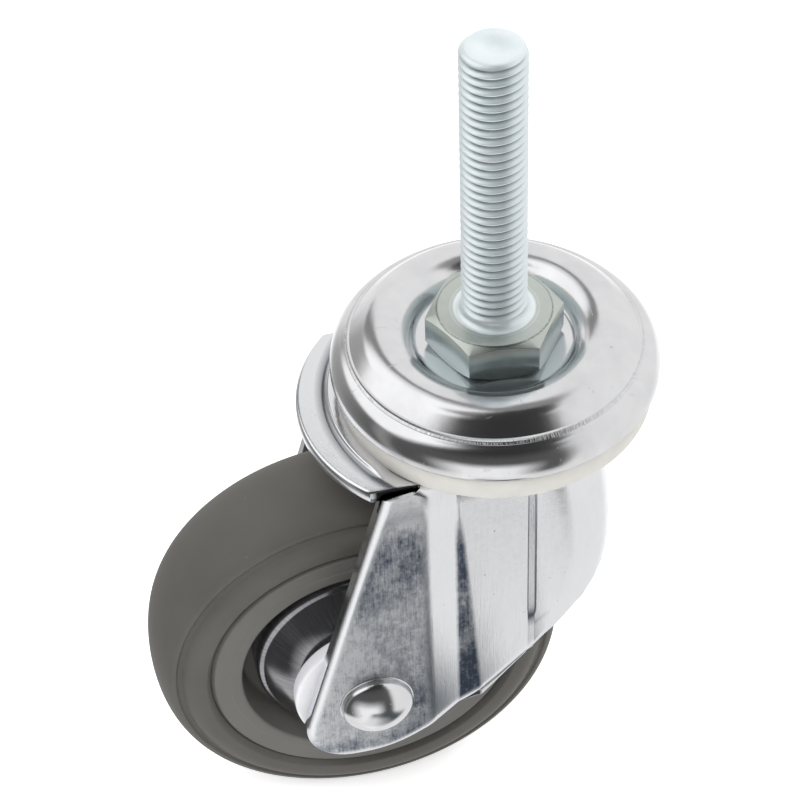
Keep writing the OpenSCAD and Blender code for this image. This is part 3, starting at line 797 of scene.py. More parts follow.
class CASTOR_OT_stem(CastorOperator, bpy.types.Operator):
    """Add the stem with its rolled thread, its hexagon and the king bolt's shank"""

    bl_idname = "castor.stem"
    bl_label = "Threaded Stem"

    TOOTH_SHARES = (0, 0.12, 0.44, 0.50, 0.58, 0.64, 0.96, 1)
    START_SHARE = -2.37
    TOOTH_STEPS = 56
    CREST_ROUND = 0.08 * MM
    OVER = 0.2 * MM
    SUNK = 0.8 * MM
    TIP_DISH = ((2.6 * MM, 0), (1.6 * MM, 0.35 * MM), (0, 0.45 * MM))
    BOTTOM_SHARE = 0.985
    BOTTOM_CHAMFER = 1.3 * MM
    TOP_CHAMFER = 1.15 * MM
    FACE_LIP = (0.1 * MM, 0.12 * MM)
    HEX_EDGE = 0.16 * MM
    SHANK = 6 * MM

    def thread(self, sizes):
        """A thread of one pitch, wound up the stem and cut to a round-tipped blank."""
        pitch, crest, root = sizes.pitch, sizes.radius, sizes.radius - sizes.depth
        flank = crest - self.CREST_ROUND
        radii = (root, root, flank, crest, crest, flank, root, root)
        tooth = [(r, (self.START_SHARE + share) * pitch)
                 for r, share in zip(radii, self.TOOTH_SHARES)]
        thread = draw_line("stem_thread", tooth, lambda r, h: Vector((r, 0, h)))
        deselect()
        turns = math.ceil(sizes.length / pitch) + 4
        modify(thread, "SCREW", axis="Z", angle=math.tau, screw_offset=pitch, iterations=turns,
               steps=self.TOOTH_STEPS, render_steps=self.TOOTH_STEPS, use_merge_vertices=True,
               merge_threshold=MERGE)
        bpy.ops.object.mode_set(mode="EDIT")
        for height, above in ((sizes.length + pitch / 3, True), (-MM, False)):
            bpy.ops.mesh.select_all(action="SELECT")
            bpy.ops.mesh.bisect(plane_co=(0, 0, height), plane_no=AXIS_Z,
                                clear_outer=above, clear_inner=not above)
        close_mesh(fill=True)
        top, tip, wide = sizes.length, sizes.tip, crest + self.OVER
        blank = lathe("thread_blank", [(0, -self.SUNK), (wide, -self.SUNK), (wide, top - tip)]
                      + arc((crest - tip, top - tip), tip, 12, 90, 6)
                      + [(r, top - down) for r, down in self.TIP_DISH], 96, closed=False)
        return cut_with(thread, blank, "INTERSECT")

    def hexagon(self, sizes):
        """The hexagon, with its corners turned off above and below."""
        bottom, face = -sizes.hex_height, sizes.hex_face
        corner = sizes.hex_flats / 2 / math.cos(30 * DEGREE)
        hexagon = hexagonal("stem_hexagon", corner, bottom, 0, sizes.hex_turn + math.pi / 6)
        lip_r, lip_z = self.FACE_LIP
        blank = lathe("hexagon_blank", [
            (0, bottom), (sizes.hex_flats / 2 * self.BOTTOM_SHARE, bottom),
            (corner + self.OVER, bottom + self.BOTTOM_CHAMFER),
            (corner + self.OVER, -self.TOP_CHAMFER),
            (face, -lip_z), (face - lip_r, 0), (0, 0)], 96, closed=False)
        cut_with(hexagon, blank, "INTERSECT")
        return round_edges(hexagon, self.HEX_EDGE, 2, 28)

    def execute(self, context):
        sizes = context.scene.castor_stem
        foot = sizes.radius + 0.02 * MM + sizes.root
        flare = lathe("stem_root", [(0, -1.5 * MM), (foot, -1.5 * MM)]
                      + arc((foot, sizes.root), sizes.root, 270, 180, 8)
                      + [(0, sizes.root)], 96, closed=False)
        end, chamfer, inside = low("threaded_stem", "z"), MM, -2 * MM
        shank = lathe("king_shank", [
            (0, end), (self.SHANK - chamfer, end), (self.SHANK, end + chamfer),
            (self.SHANK, inside), (0, inside)], 64, closed=False)
        stem = join([self.thread(sizes), self.hexagon(sizes), flare, shank], "stem_and_hexagon")
        complete(stem, stem_zinc, "head", "stem_zinc", "threaded_stem")
        return {"FINISHED"}


def bead_ring(head):
    """Radius of the cap's bead line, where the shoulder starts."""
    return head.radius - head.shoulder + head.shoulder * math.cos(62 * DEGREE) - 0.4 * MM


class CASTOR_OT_head(CastorOperator, bpy.types.Operator):
    """Add the pressed swivel cap and the dust seal under its lip"""

    bl_idname = "castor.head"
    bl_label = "Swivel Head"

    HOLE = 6.1 * MM
    BEAD_SHARES = ((0.68, 0), (0.73, 0.7), (0.77, 1), (0.81, 0.7), (0.84, 0.2),
                   (0.90, 0.15), (0.93, 0.4), (0.97, 0.4), (0.99, 0))
    LIP_ROUND = 0.5 * MM
    SEAL_HOLE = 19.9 * MM
    SEAL_WEB = 1.6 * MM
    SEAL_SPIGOT = 1.1 * MM
    SEAL_GAP = 0.6 * MM
    SEAL_WALL = 3.8 * MM
    SEAL_EDGE = 0.3 * MM

    def cap_line(self, head):
        """Outer face of the cap, from the stem's hole to the lip."""
        floor, crest_z = head.floor, head.floor - head.sheet
        rise = head.fillet + floor - crest_z
        run = math.sqrt((head.crest + head.fillet) ** 2 - rise ** 2)
        turn = math.degrees(math.atan2(rise, run))
        fillet = (head.crest_ring - run, floor + head.fillet)
        shoulder = (head.radius - head.shoulder, crest_z - head.shoulder_drop)
        lip = low("swivel_cap", "z")
        line = [(self.HOLE, floor)] + arc(fillet, head.fillet, -90, -turn, 6)
        line += arc((head.crest_ring, crest_z), head.crest, 180 - turn, 49, 22)[1:]
        end = Vector(line[-1])
        start = Vector(arc(shoulder, head.shoulder, 64, 0, 1)[0])
        along = (start - end).normalized()
        out = Vector((-along.y, along.x))
        for share, lift_share in self.BEAD_SHARES:
            line.append(tuple(end.lerp(start, share) + out * head.bead * lift_share))
        line += arc(shoulder, head.shoulder, 64, 0, 12)
        line += [(head.radius + 0.02 * MM, lip + 0.7 * MM)]
        line += arc((head.radius - self.LIP_ROUND, lip + self.LIP_ROUND), self.LIP_ROUND,
                    0, -60, 3)
        return line

    def execute(self, context):
        head = context.scene.castor_head
        cap = lathe("swivel_cap_pressed", self.cap_line(head), 192, closed=False)
        modify(cap, "SOLIDIFY", thickness=head.sheet - 0.3 * MM, offset=-1)
        round_edges(cap, 0.2 * MM, 2, 60)
        complete(cap, cap_zinc, "head", "bright_zinc", "swivel_cap", angle=SHEET_SMOOTH_ANGLE)
        top, bottom = high("dust_seal", "z"), low("dust_seal", "z")
        lip, edge, web = low("swivel_cap", "z") - 0.3 * MM, head.seal_radius, bottom + self.SEAL_WEB
        inner = head.radius - head.sheet - self.SEAL_GAP
        spigot = inner - self.SEAL_SPIGOT
        seal = lathe("dust_seal_ring", rounded([
            (self.SEAL_HOLE, bottom, 0), (edge - 0.5 * MM, bottom, 0.5 * MM),
            (edge, lip, 0.5 * MM), (inner, lip, 0.1 * MM), (inner, top, self.SEAL_EDGE),
            (spigot, top, self.SEAL_EDGE), (edge - self.SEAL_WALL, web, self.SEAL_EDGE),
            (self.SEAL_HOLE, web, 0)], 3), 160)
        complete(seal, ivory_plastic, "swivel", "ivory_plastic", "dust_seal")
        return {"FINISHED"}


class CASTOR_OT_nut(CastorOperator, bpy.types.Operator):
    """Add the king nut and its washer, which close the head from below"""

    bl_idname = "castor.king_nut"
    bl_label = "King Nut and Washer"

    BORE = 6.04 * MM
    BORE_CHAMFER = 0.7 * MM
    BOTTOM_SHARE = 0.97
    CHAMFER = 1.0 * MM

    def execute(self, context):
        turn = context.scene.castor_stem.hex_turn
        bottom, top = low("king_nut", "z"), high("king_nut", "z")
        corner = width("king_nut", "x") / 2 / math.cos(turn)
        nut = hexagonal("king_nut_chamfered", corner, bottom, top, turn)
        flat, wide = corner * math.cos(30 * DEGREE), corner + 0.1 * MM
        blank = lathe("nut_blank", [
            (self.BORE, bottom + self.BORE_CHAMFER), (6.9 * MM, bottom),
            (flat * self.BOTTOM_SHARE, bottom), (wide, bottom + self.CHAMFER), (wide, top),
            (self.BORE, top)], 72)
        cut_with(nut, blank, "INTERSECT")
        round_edges(nut, 0.15 * MM, 2, 28)
        complete(nut, stem_zinc, "head", "stem_zinc", "king_nut")
        bottom, top = low("king_washer", "z"), high("king_washer", "z")
        outer = width("king_washer", "x") / 2
        washer = lathe("king_washer_rounded", [
            (self.BORE, bottom), (outer, bottom), (outer, top), (self.BORE, top)], 96)
        round_edges(washer, 0.3 * MM, 3)
        complete(washer, stem_zinc, "head", "stem_zinc", "king_washer")
        return {"FINISHED"}


class CASTOR_OT_fork(CastorOperator, bpy.types.Operator):
    """Add the fork, pressed from one sheet: crown, joggled legs and front wall"""

    bl_idname = "castor.fork"
    bl_label = "Fork"

    WALL_ROWS = 30
    BEND_ROWS = 8
    REAR_COLUMNS = 26
    VALLEY_TOP = 0.4 * MM
    VALLEY_DEPTH = 1.7 * MM
    JOGGLE_DEPTH = 3.1 * MM
    FRONT_MOST = -48 * MM
    FRONT_INSET = 2.2 * MM
    LARGEST_LEAN = 2.4 * MM
    CHEEK = 0.62 * MM
    CHEEK_FOOT = -64.5 * MM
    CHEEK_TALL = 4.5 * MM
    LEG_INSET = 2.0 * MM
    TONGUE_END = -18.7 * MM
    SLIT_PLACE = (-23.8 * MM, 21.5 * MM, -21 * MM)
    SLIT_SIZE = (9.4 * MM, 0.7 * MM, 7 * MM)
    CROWN_HOLE = 8.5 * MM
    BOSS_RADIUS = 15.85 * MM
    BOSS_FOOT = 17 * MM

    def plan(self, sizes, z):
        """Outside of the near leg and half the front wall, from above, at a height."""
        leg = sizes.half_width
        valley, joggle = leg - self.VALLEY_DEPTH, leg - self.JOGGLE_DEPTH
        groove = self.VALLEY_TOP + VALLEY_SPREAD * limited((DRAWN_TOP - z) / DRAWN_TALL)
        rise = z - self.FRONT_MOST
        lean = (rise / (20 * MM)) ** 2 * 2.0 * MM if rise > 0 else (rise / (10 * MM)) ** 2 * MM
        front = sizes.front - min(lean, self.LARGEST_LEAN)
        cheek = self.CHEEK * eased(limited((z - self.CHEEK_FOOT) / self.CHEEK_TALL))
        corners = [
            (PANEL_END, leg, 0),
            (-18.0 * MM, leg, 7 * MM),
            (VALLEY_REAR, valley, 2.0 * MM),
            (VALLEY_REAR + groove, valley, 3.0 * MM),
            (1.5 * MM, joggle, 0.7 * MM),
            (2.8 * MM, joggle + cheek, 1.4 * MM),
            (front, leg - self.FRONT_INSET, sizes.front_round),
            (front, 0, 0),
        ]
        return rounded(corners, 8)

    def side_line(self):
        """The fork's cut edge from the side: down its rear and along its foot to the front."""
        return [Vector(p) for p in rounded([
            (*REAR_TOP, 0), (*FOOT_REAR, 9.2 * MM), (*FOOT_FRONT, 20 * MM),
            (*RISE_MIDDLE, 40 * MM), (*RISE_END, 0)], 14)]

    def foot_at(self, line, x):
        """Height of the foot's edge at a place along the fork."""
        for a, b in zip(line[1:], line[2:]):
            if a.x <= x <= b.x:
                return a.y + (b.y - a.y) * (x - a.x) / (b.x - a.x)
        return line[-1].y

    def foot_share(self, line, share):
        """A place on the foot's edge, from the end of the straight rear edge to the joggle."""
        stops = [line[1]]
        for b in line[2:]:
            if b.x >= PANEL_END:
                stops.append(Vector((PANEL_END, self.foot_at(line, PANEL_END))))
                break
            stops.append(b)
        whole = sum((b - a).length for a, b in zip(stops, stops[1:]))
        left = whole * share
        for a, b in zip(stops, stops[1:]):
            step = (b - a).length
            if left <= step:
                return a.lerp(b, left / step)
            left -= step
        return stops[-1]

    def climb(self, foot, top, place, sizes, bend, turn):
        """One column of the sheet: up the wall, then round the bend by a turn."""
        bend_z = sizes.crown - bend
        wall_z = min(bend_z, top.y - 0.4 * MM)
        lean = (top.x - foot.x) / (top.y - foot.y)
        column = []
        for i in range(self.WALL_ROWS + 1):
            z = foot.y + (wall_z - foot.y) * (i / self.WALL_ROWS) ** 1.6
            column.append(place(foot.x + lean * (z - foot.y), z))
        start = column[-1]
        for i in range(1, self.BEND_ROWS + 1):
            if wall_z < bend_z:
                z = (top.y - wall_z) * i / self.BEND_ROWS
                column.append(start + Vector((lean * z, 0, z)))
                continue
            a = turn * i / self.BEND_ROWS
            inward = self.inward(start, sizes) * bend * (1 - math.cos(a))
            z = bend * math.sin(a)
            column.append(start + inward + Vector((lean * z, 0, z)))
        return column

    def sheet_points(self, sizes):
        """Columns of points on the sheet's outer face, from its foot up to the crown."""
        line = self.side_line()
        small_bend = 1.2 * MM
        columns = []
        for i in range(self.REAR_COLUMNS):
            share = (i / self.REAR_COLUMNS) ** 1.35
            foot = self.foot_share(line, share)
            top = REAR_TOP + Vector((PANEL_END - REAR_TOP.x, 0.9 * MM)) * share
            rise = (top.y - sizes.crown + small_bend) / small_bend
            turn = math.asin(max(rise, 0.0))
            columns.append(self.climb(
                foot, top, lambda x, z: Vector((x, -sizes.half_width, z)), sizes,
                small_bend, turn))
        for i in range(len(self.plan(sizes, 0))):
            x = self.plan(sizes, -60 * MM)[i][0]
            foot = Vector((x, self.foot_at(line, x)))
            place = lambda _, z: Vector((  # noqa: E731
                self.plan(sizes, z)[i][0], -self.plan(sizes, z)[i][1], z))
            opened = limited((x + 19.6 * MM) / (1.4 * MM))
            wider = limited((x - PANEL_END) / (5 * MM))
            bend = small_bend + (sizes.bend - small_bend) * wider
            turn = (25 + (90 - 25) * opened) * DEGREE
            columns.append(self.climb(foot, Vector((x, 0)), place, sizes, bend, turn))
        far = [[Vector((p.x, -p.y, p.z)) for p in column] for column in columns[-2::-1]]
        return columns + far

    def inward(self, point, sizes):
        """Level direction from a place on the walls towards the middle of the crown."""
        reach, side = sizes.front_round, sizes.half_width - self.LEG_INSET
        corner_x, corner_y = sizes.front - reach, side - reach
        if point.x > corner_x and abs(point.y) > corner_y:
            out = Vector((point.x - corner_x, math.copysign(abs(point.y) - corner_y, point.y), 0))
            return -out.normalized()
        if point.x > corner_x:
            return Vector((-1, 0, 0))
        return Vector((0, -math.copysign(1, point.y), 0))

    def rolled(self, distance, sizes):
        """How far the sheared sheet's outer face falls away beside its edge."""
        if distance >= sizes.rolled_edge:
            return 0.0
        steepest = 42 * DEGREE
        radius = sizes.rolled_edge / math.sin(steepest)
        return radius * (1 - math.cos(math.asin((sizes.rolled_edge - distance) / radius)))

    def edge_distance(self, line, point):
        """Distance from a place on a wall to the fork's cut edge, from the side."""
        here = Vector((point.x, point.z))
        shortest = math.inf
        for a, b in zip(line, line[1:]):
            along = b - a
            share = limited((here - a).dot(along) / along.length_squared)
            shortest = min(shortest, (here - a - along * share).length)
        return shortest

    def walls(self, sizes):
        """The legs and the front wall, with their edges rolled outside."""
        columns = self.sheet_points(sizes)
        deselect()
        wide, tall = len(columns), len(columns[0])
        bpy.ops.mesh.primitive_grid_add(x_subdivisions=wide - 1, y_subdivisions=tall - 1,
                                        size=100 * MM)
        walls = named("fork_walls")
        order = sorted(walls.data.vertices, key=lambda v: (round(v.co.y, 6), round(v.co.x, 6)))
        for i, vertex in enumerate(order):
            vertex.co = columns[i % wide][i // wide]
        make_active(walls)
        bpy.ops.object.mode_set(mode="EDIT")
        bpy.ops.mesh.select_all(action="SELECT")
        bpy.ops.mesh.normals_make_consistent(inside=False)
        bpy.ops.object.mode_set(mode="OBJECT")
        front = max(walls.data.polygons, key=lambda f: f.center.x)
        if front.normal.x < 0:
            bpy.ops.object.mode_set(mode="EDIT")
            bpy.ops.mesh.flip_normals()
            bpy.ops.object.mode_set(mode="OBJECT")
        faces = [(v.co.copy(), v.normal.copy()) for v in walls.data.vertices]
        modify(walls, "SOLIDIFY", thickness=sizes.sheet, offset=-1)
        line = self.side_line()
        for i, (place, normal) in enumerate(faces):
            pair = (walls.data.vertices[i], walls.data.vertices[i + len(faces)])
            outer = min(pair, key=lambda v: (v.co - place).length)
            outer.co -= normal * self.rolled(self.edge_distance(line, place), sizes)
        return walls

    def slit(self, walls):
        """Cuts the slits between the crown's rear and the tops of the legs."""
        along, across, height = self.SLIT_PLACE
        for side in (-1, 1):
            deselect()
            bpy.ops.mesh.primitive_cube_add(size=1, location=(along, side * across, height))
            cut_with(walls, placed("slit", self.SLIT_SIZE), "DIFFERENCE")

    def execute(self, context):
        sizes = context.scene.castor_fork
        walls = self.walls(sizes)
        self.slit(walls)
        fork = join([walls, self.crown(sizes), self.collar(sizes)], "fork_pressed")
        complete(fork, fork_zinc, "swivel", "fork_zinc", "fork")
        return {"FINISHED"}

    def collar(self, sizes):
        """The low ring that the press raises beside the seal, on the crown's rear."""
        slope, edge, hollow, sunk = 55, 0.4 * MM, 1.5 * MM, 0.5 * MM
        inside, half_turn, fade = 28.5 * MM, 38.5 * DEGREE, 9 * DEGREE
        top, base = sizes.crown + sizes.collar, sizes.crown - 0.1 * MM
        foot = sizes.collar_ring + 1.62 * MM
        profile = [(inside, sizes.crown - sunk), (inside, top)]
        profile += arc((sizes.collar_ring, top - edge), edge, 90, 90 - slope, 4)
        profile += arc((foot, sizes.crown + hollow), hollow, 270 - slope, 270, 8)
        profile += [(foot, sizes.crown - sunk)]
        first = math.pi - half_turn
        ring = draw_line("crown_collar", profile, lambda r, h: Vector(
            (r * math.cos(first), r * math.sin(first), h)), closed=True)
        bpy.ops.mesh.select_all(action="SELECT")
        bpy.ops.mesh.spin(steps=64, angle=-2 * half_turn, center=(0, 0, 0), axis=AXIS_Z)
        close_mesh(fill=True)
        for vertex in ring.data.vertices:
            if vertex.co.z > base:
                angle = abs(math.atan2(vertex.co.y, -vertex.co.x))
                share = limited((half_turn - angle) / fade)
                vertex.co.z = base + (vertex.co.z - base) * eased(share)
        return ring

    def crown(self, sizes):
        """The crown's flat plate with its round tongue and the raised boss for the balls."""
        leg_in = sizes.half_width - self.LEG_INSET - sizes.bend
        reach, half = sizes.tongue_reach - sizes.tongue_radius, sizes.tongue_half
        turn = math.degrees(math.asin(half / sizes.tongue_radius))
        tongue = arc((-reach, 0), sizes.tongue_radius, 180 - turn, 180 + turn, 40)
        front = sizes.front - sizes.bend
        outline = tongue + [(-19.0 * MM, -half), (self.TONGUE_END, -half + 0.3 * MM),
                            (-15 * MM, -leg_in - 0.6 * MM)]
        corner = sizes.front_round - sizes.bend
        outline += arc((front - corner - 1.2 * MM, -leg_in + corner - 0.3 * MM), corner,
                       -90, 0, 8)
        outline += [(x, -y) for x, y in reversed(outline[len(tongue):])]
        plate = draw_line("fork_crown", outline, lambda x, y: Vector((x, y, sizes.crown)),
                          closed=True)
        bpy.ops.mesh.select_all(action="SELECT")
        bpy.ops.mesh.edge_face_add()
        bpy.ops.mesh.extrude_region_move(
            TRANSFORM_OT_translate={"value": (0, 0, -sizes.sheet)})
        bpy.ops.mesh.select_all(action="SELECT")
        bpy.ops.mesh.normals_make_consistent(inside=False)
        bpy.ops.mesh.select_mode(type="EDGE")
        bpy.ops.mesh.select_all(action="DESELECT")
        shape = bmesh.from_edit_mesh(plate.data)
        for edge in shape.edges:
            flat = abs(edge.verts[0].co.z - edge.verts[1].co.z) < MERGE
            edge.select = flat and all(v.co.x < self.TONGUE_END for v in edge.verts)
        shape.select_flush_mode()
        bmesh.update_edit_mesh(plate.data)
        bpy.ops.mesh.bevel(offset=0.7 * MM, segments=4, affect="EDGES")
        bpy.ops.object.mode_set(mode="OBJECT")
        top, under = high("fork", "z"), sizes.crown - sizes.sheet
        hole_r, boss_r, foot_r = self.CROWN_HOLE, self.BOSS_RADIUS, self.BOSS_FOOT
        boss = lathe("crown_boss", rounded([
            (hole_r, under, 0), (hole_r, top, 0), (boss_r, top, 0.7 * MM),
            (boss_r, sizes.crown, 1.0 * MM), (foot_r, sizes.crown, 0), (foot_r, under, 0),
            (hole_r, under, 0)], 4)[:-1], 96)
        cavity = self.plug("boss_cavity", boss_r - sizes.sheet, under, top - sizes.sheet)
        hole = self.plug("crown_hole", hole_r, under, top + MM)
        cut_with(plate, boss, "UNION")
        cut_with(plate, cavity, "DIFFERENCE")
        return cut_with(plate, hole, "DIFFERENCE")

    def plug(self, name, radius, under, top):
        """A round block that reaches from below the crown to a height."""
        bottom = under - 5 * MM
        return lathe(name, [(0, bottom), (radius, bottom), (radius, top), (0, top)], 96,
                     closed=False)


class CASTOR_OT_axle(CastorOperator, bpy.types.Operator):
    """Add the axle rivet with its domed heads, and the white thread guards"""

    bl_idname = "castor.axle"
    bl_label = "Axle Rivet and Thread Guards"

    SHANK = 4 * MM
    GUARD_BORE = 4.04 * MM
    GUARD_HUB = 6.2 * MM
    GUARD_START = 12.2 * MM

    def rivet(self, sizes, fork):
        """The rivet with both of its heads, each on the ring pressed into the leg."""
        face, end, radius, ring = fork.half_width, sizes.rivet_end, sizes.rivet_radius, fork.boss_ring
        rim, sunk = 0.9 * MM, 0.3 * MM
        rise = sizes.rivet_dome - rim
        dome = (radius ** 2 + rise ** 2) / 2 / rise
        turn = math.degrees(math.asin(radius / dome))
        half = [(ring + 0.2 * MM, face - sunk), (ring, face + 0.05 * MM),
                (radius + 0.08 * MM, face + 0.12 * MM), (radius, face + 0.3 * MM),
                (radius, end - sizes.rivet_dome + rim - 0.2 * MM)]
        half += arc((0, end - dome), dome, 90 - turn, 90, 14)[1:]
        profile = [(r, -h) for r, h in reversed(half)]
        profile += [(self.SHANK, -face + sunk), (self.SHANK, face - sunk)]
        rivet = lathe("axle_rivet_domed", profile + half, 96, AXLE, 1, closed=False)
        complete(rivet, bright_zinc, "swivel", "bright_zinc", "axle_rivet",
                 angle=SHEET_SMOOTH_ANGLE)

    def guard(self, sizes, side, where):
        """A guard's disc and hub, with the flat that clears the fork's front."""
        outer, inner = sizes.guard_outside, sizes.guard_outside - sizes.guard_thickness
        guard = lathe("guard_disc_" + where, rounded([
            (self.GUARD_BORE, self.GUARD_START, 0), (self.GUARD_HUB, self.GUARD_START, 0.2 * MM),
            (self.GUARD_HUB, inner, 0.2 * MM), (sizes.guard_radius, inner, 0.6 * MM),
            (sizes.guard_radius, outer, 0.6 * MM), (self.GUARD_BORE, outer, 0)], 4),
            128, AXLE, side)
        make_active(guard)
        bpy.ops.object.mode_set(mode="EDIT")
        bpy.ops.mesh.select_all(action="SELECT")
        bpy.ops.mesh.bisect(plane_co=(AXLE.x + sizes.guard_flat, 0, 0), plane_no=(1, 0, 0),
                            use_fill=True, clear_outer=True)
        bpy.ops.object.mode_set(mode="OBJECT")
        complete(guard, white_plastic, "swivel", "white_plastic", "thread_guard_" + where)

    def execute(self, context):
        sizes = context.scene.castor_wheel
        self.rivet(sizes, context.scene.castor_fork)
        for side, where in SIDES:
            self.guard(sizes, side, where)
        return {"FINISHED"}


class CASTOR_OT_wheel(CastorOperator, bpy.types.Operator):
    """Add the tyre, the core and the domed hub caps"""

    bl_idname = "castor.wheel"
    bl_label = "Wheel"

    def tread(self, sizes):
        """One side of the tyre, from the middle of the tread to the joint with the core."""
        fall, crease = 3.4 * MM, 10.45 * MM
        line = []
        for i in range(17):
            a = math.pi / 2 * i / 16
            line.append((sizes.radius - fall * (1 - math.cos(a)), crease * math.sin(a)))
        edge = sizes.half_width
        side = [(sizes.radius - fall, crease, 0),
                (sizes.radius - fall - 0.5 * MM, crease - 0.35 * MM, 0.4 * MM),
                (sizes.radius - fall - 1.2 * MM, crease + 0.2 * MM, 0.4 * MM),
                (sizes.core_radius + 4.6 * MM, edge, 3 * MM),
                (sizes.core_radius + 0.9 * MM, edge - 0.1 * MM, 0.6 * MM),
                (sizes.core_radius, edge - 1.2 * MM, 0.4 * MM), (sizes.core_radius, 0, 0)]
        return line + rounded(side, 5)[1:]

    def core_half(self, sizes):
        """One side of the core: bearing seat, hub, web, recess and rim."""
        web, recess, rim = sizes.recess_floor, sizes.recess_radius, sizes.core_radius
        stop, seat, hub = 9.6 * MM, 11 * MM, 15 * MM
        seat_start, edge = 5.2 * MM, 12.0 * MM
        hub_end, rim_face = edge + 0.2 * MM, edge - 0.15 * MM
        joint = rim - 0.04 * MM
        return rounded([
            (stop, 0, 0), (stop, seat_start, 0), (seat, seat_start, 0),
            (seat, hub_end, 0.3 * MM), (hub, hub_end, 0.6 * MM), (hub, web, 1 * MM),
            (recess - 0.5 * MM, web, 1 * MM), (recess, edge, 0.5 * MM),
            (recess + 2.2 * MM, edge, 0.2 * MM), (recess + 2.5 * MM, rim_face, 0.2 * MM),
            (rim - 0.7 * MM, rim_face, 0.5 * MM), (joint, edge - MM, 0.3 * MM),
            (joint, 0, 0)], 4)

    def hub_cap(self, sizes, side, where):
        """A cap of sheet, domed from its edge in the recess to its mouth at the hub."""
        radius, lip, mouth = sizes.hub_cap_radius, sizes.hub_cap_edge, sizes.hub_cap_mouth
        line = rounded([
            (radius, sizes.recess_floor + 0.05 * MM, 0), (radius - 0.1 * MM, lip, 1.0 * MM),
            (radius - 1.3 * MM, lip + 0.5 * MM, 0.8 * MM),
            (15.5 * MM, mouth - 1.2 * MM, 12 * MM), (13.2 * MM, mouth, 0)], 8)
        cap = lathe("hub_cap_pressed_" + where, line, 160, AXLE, side, closed=False)
        modify(cap, "SOLIDIFY", thickness=sizes.hub_cap_sheet, offset=-1)
        round_edges(cap, 0.2 * MM, 2, 60)
        complete(cap, hub_zinc_in_painted_shade, "wheel", "bright_zinc", "hub_cap_" + where,
                 angle=SHEET_SMOOTH_ANGLE)

    def execute(self, context):
        sizes = context.scene.castor_wheel
        half = self.tread(sizes)
        tyre = lathe("tyre_moulded", half + mirrored(half), 192, AXLE)
        complete(tyre, rubber, "wheel", "grey_rubber", "tyre")
        half = self.core_half(sizes)
        core = lathe("wheel_core_moulded", half + mirrored(half), 192, AXLE)
        complete(core, core_plastic, "wheel", "grey_plastic", "wheel_core")
        for side, where in SIDES:
            self.hub_cap(sizes, side, where)
        return {"FINISHED"}


class CASTOR_OT_inner(CastorOperator, bpy.types.Operator):
    """Give the races, balls, spacer, sleeve and bearings their finish"""

    bl_idname = "castor.inner"
    bl_label = "Races, Balls and Bearings"

    def execute(self, context):
        for node in frame["nodes"].values():
            if not node.hide_render:
                node.data.materials.clear()
                node.data.materials.append(finish_of(race_steel))
        return {"FINISHED"}


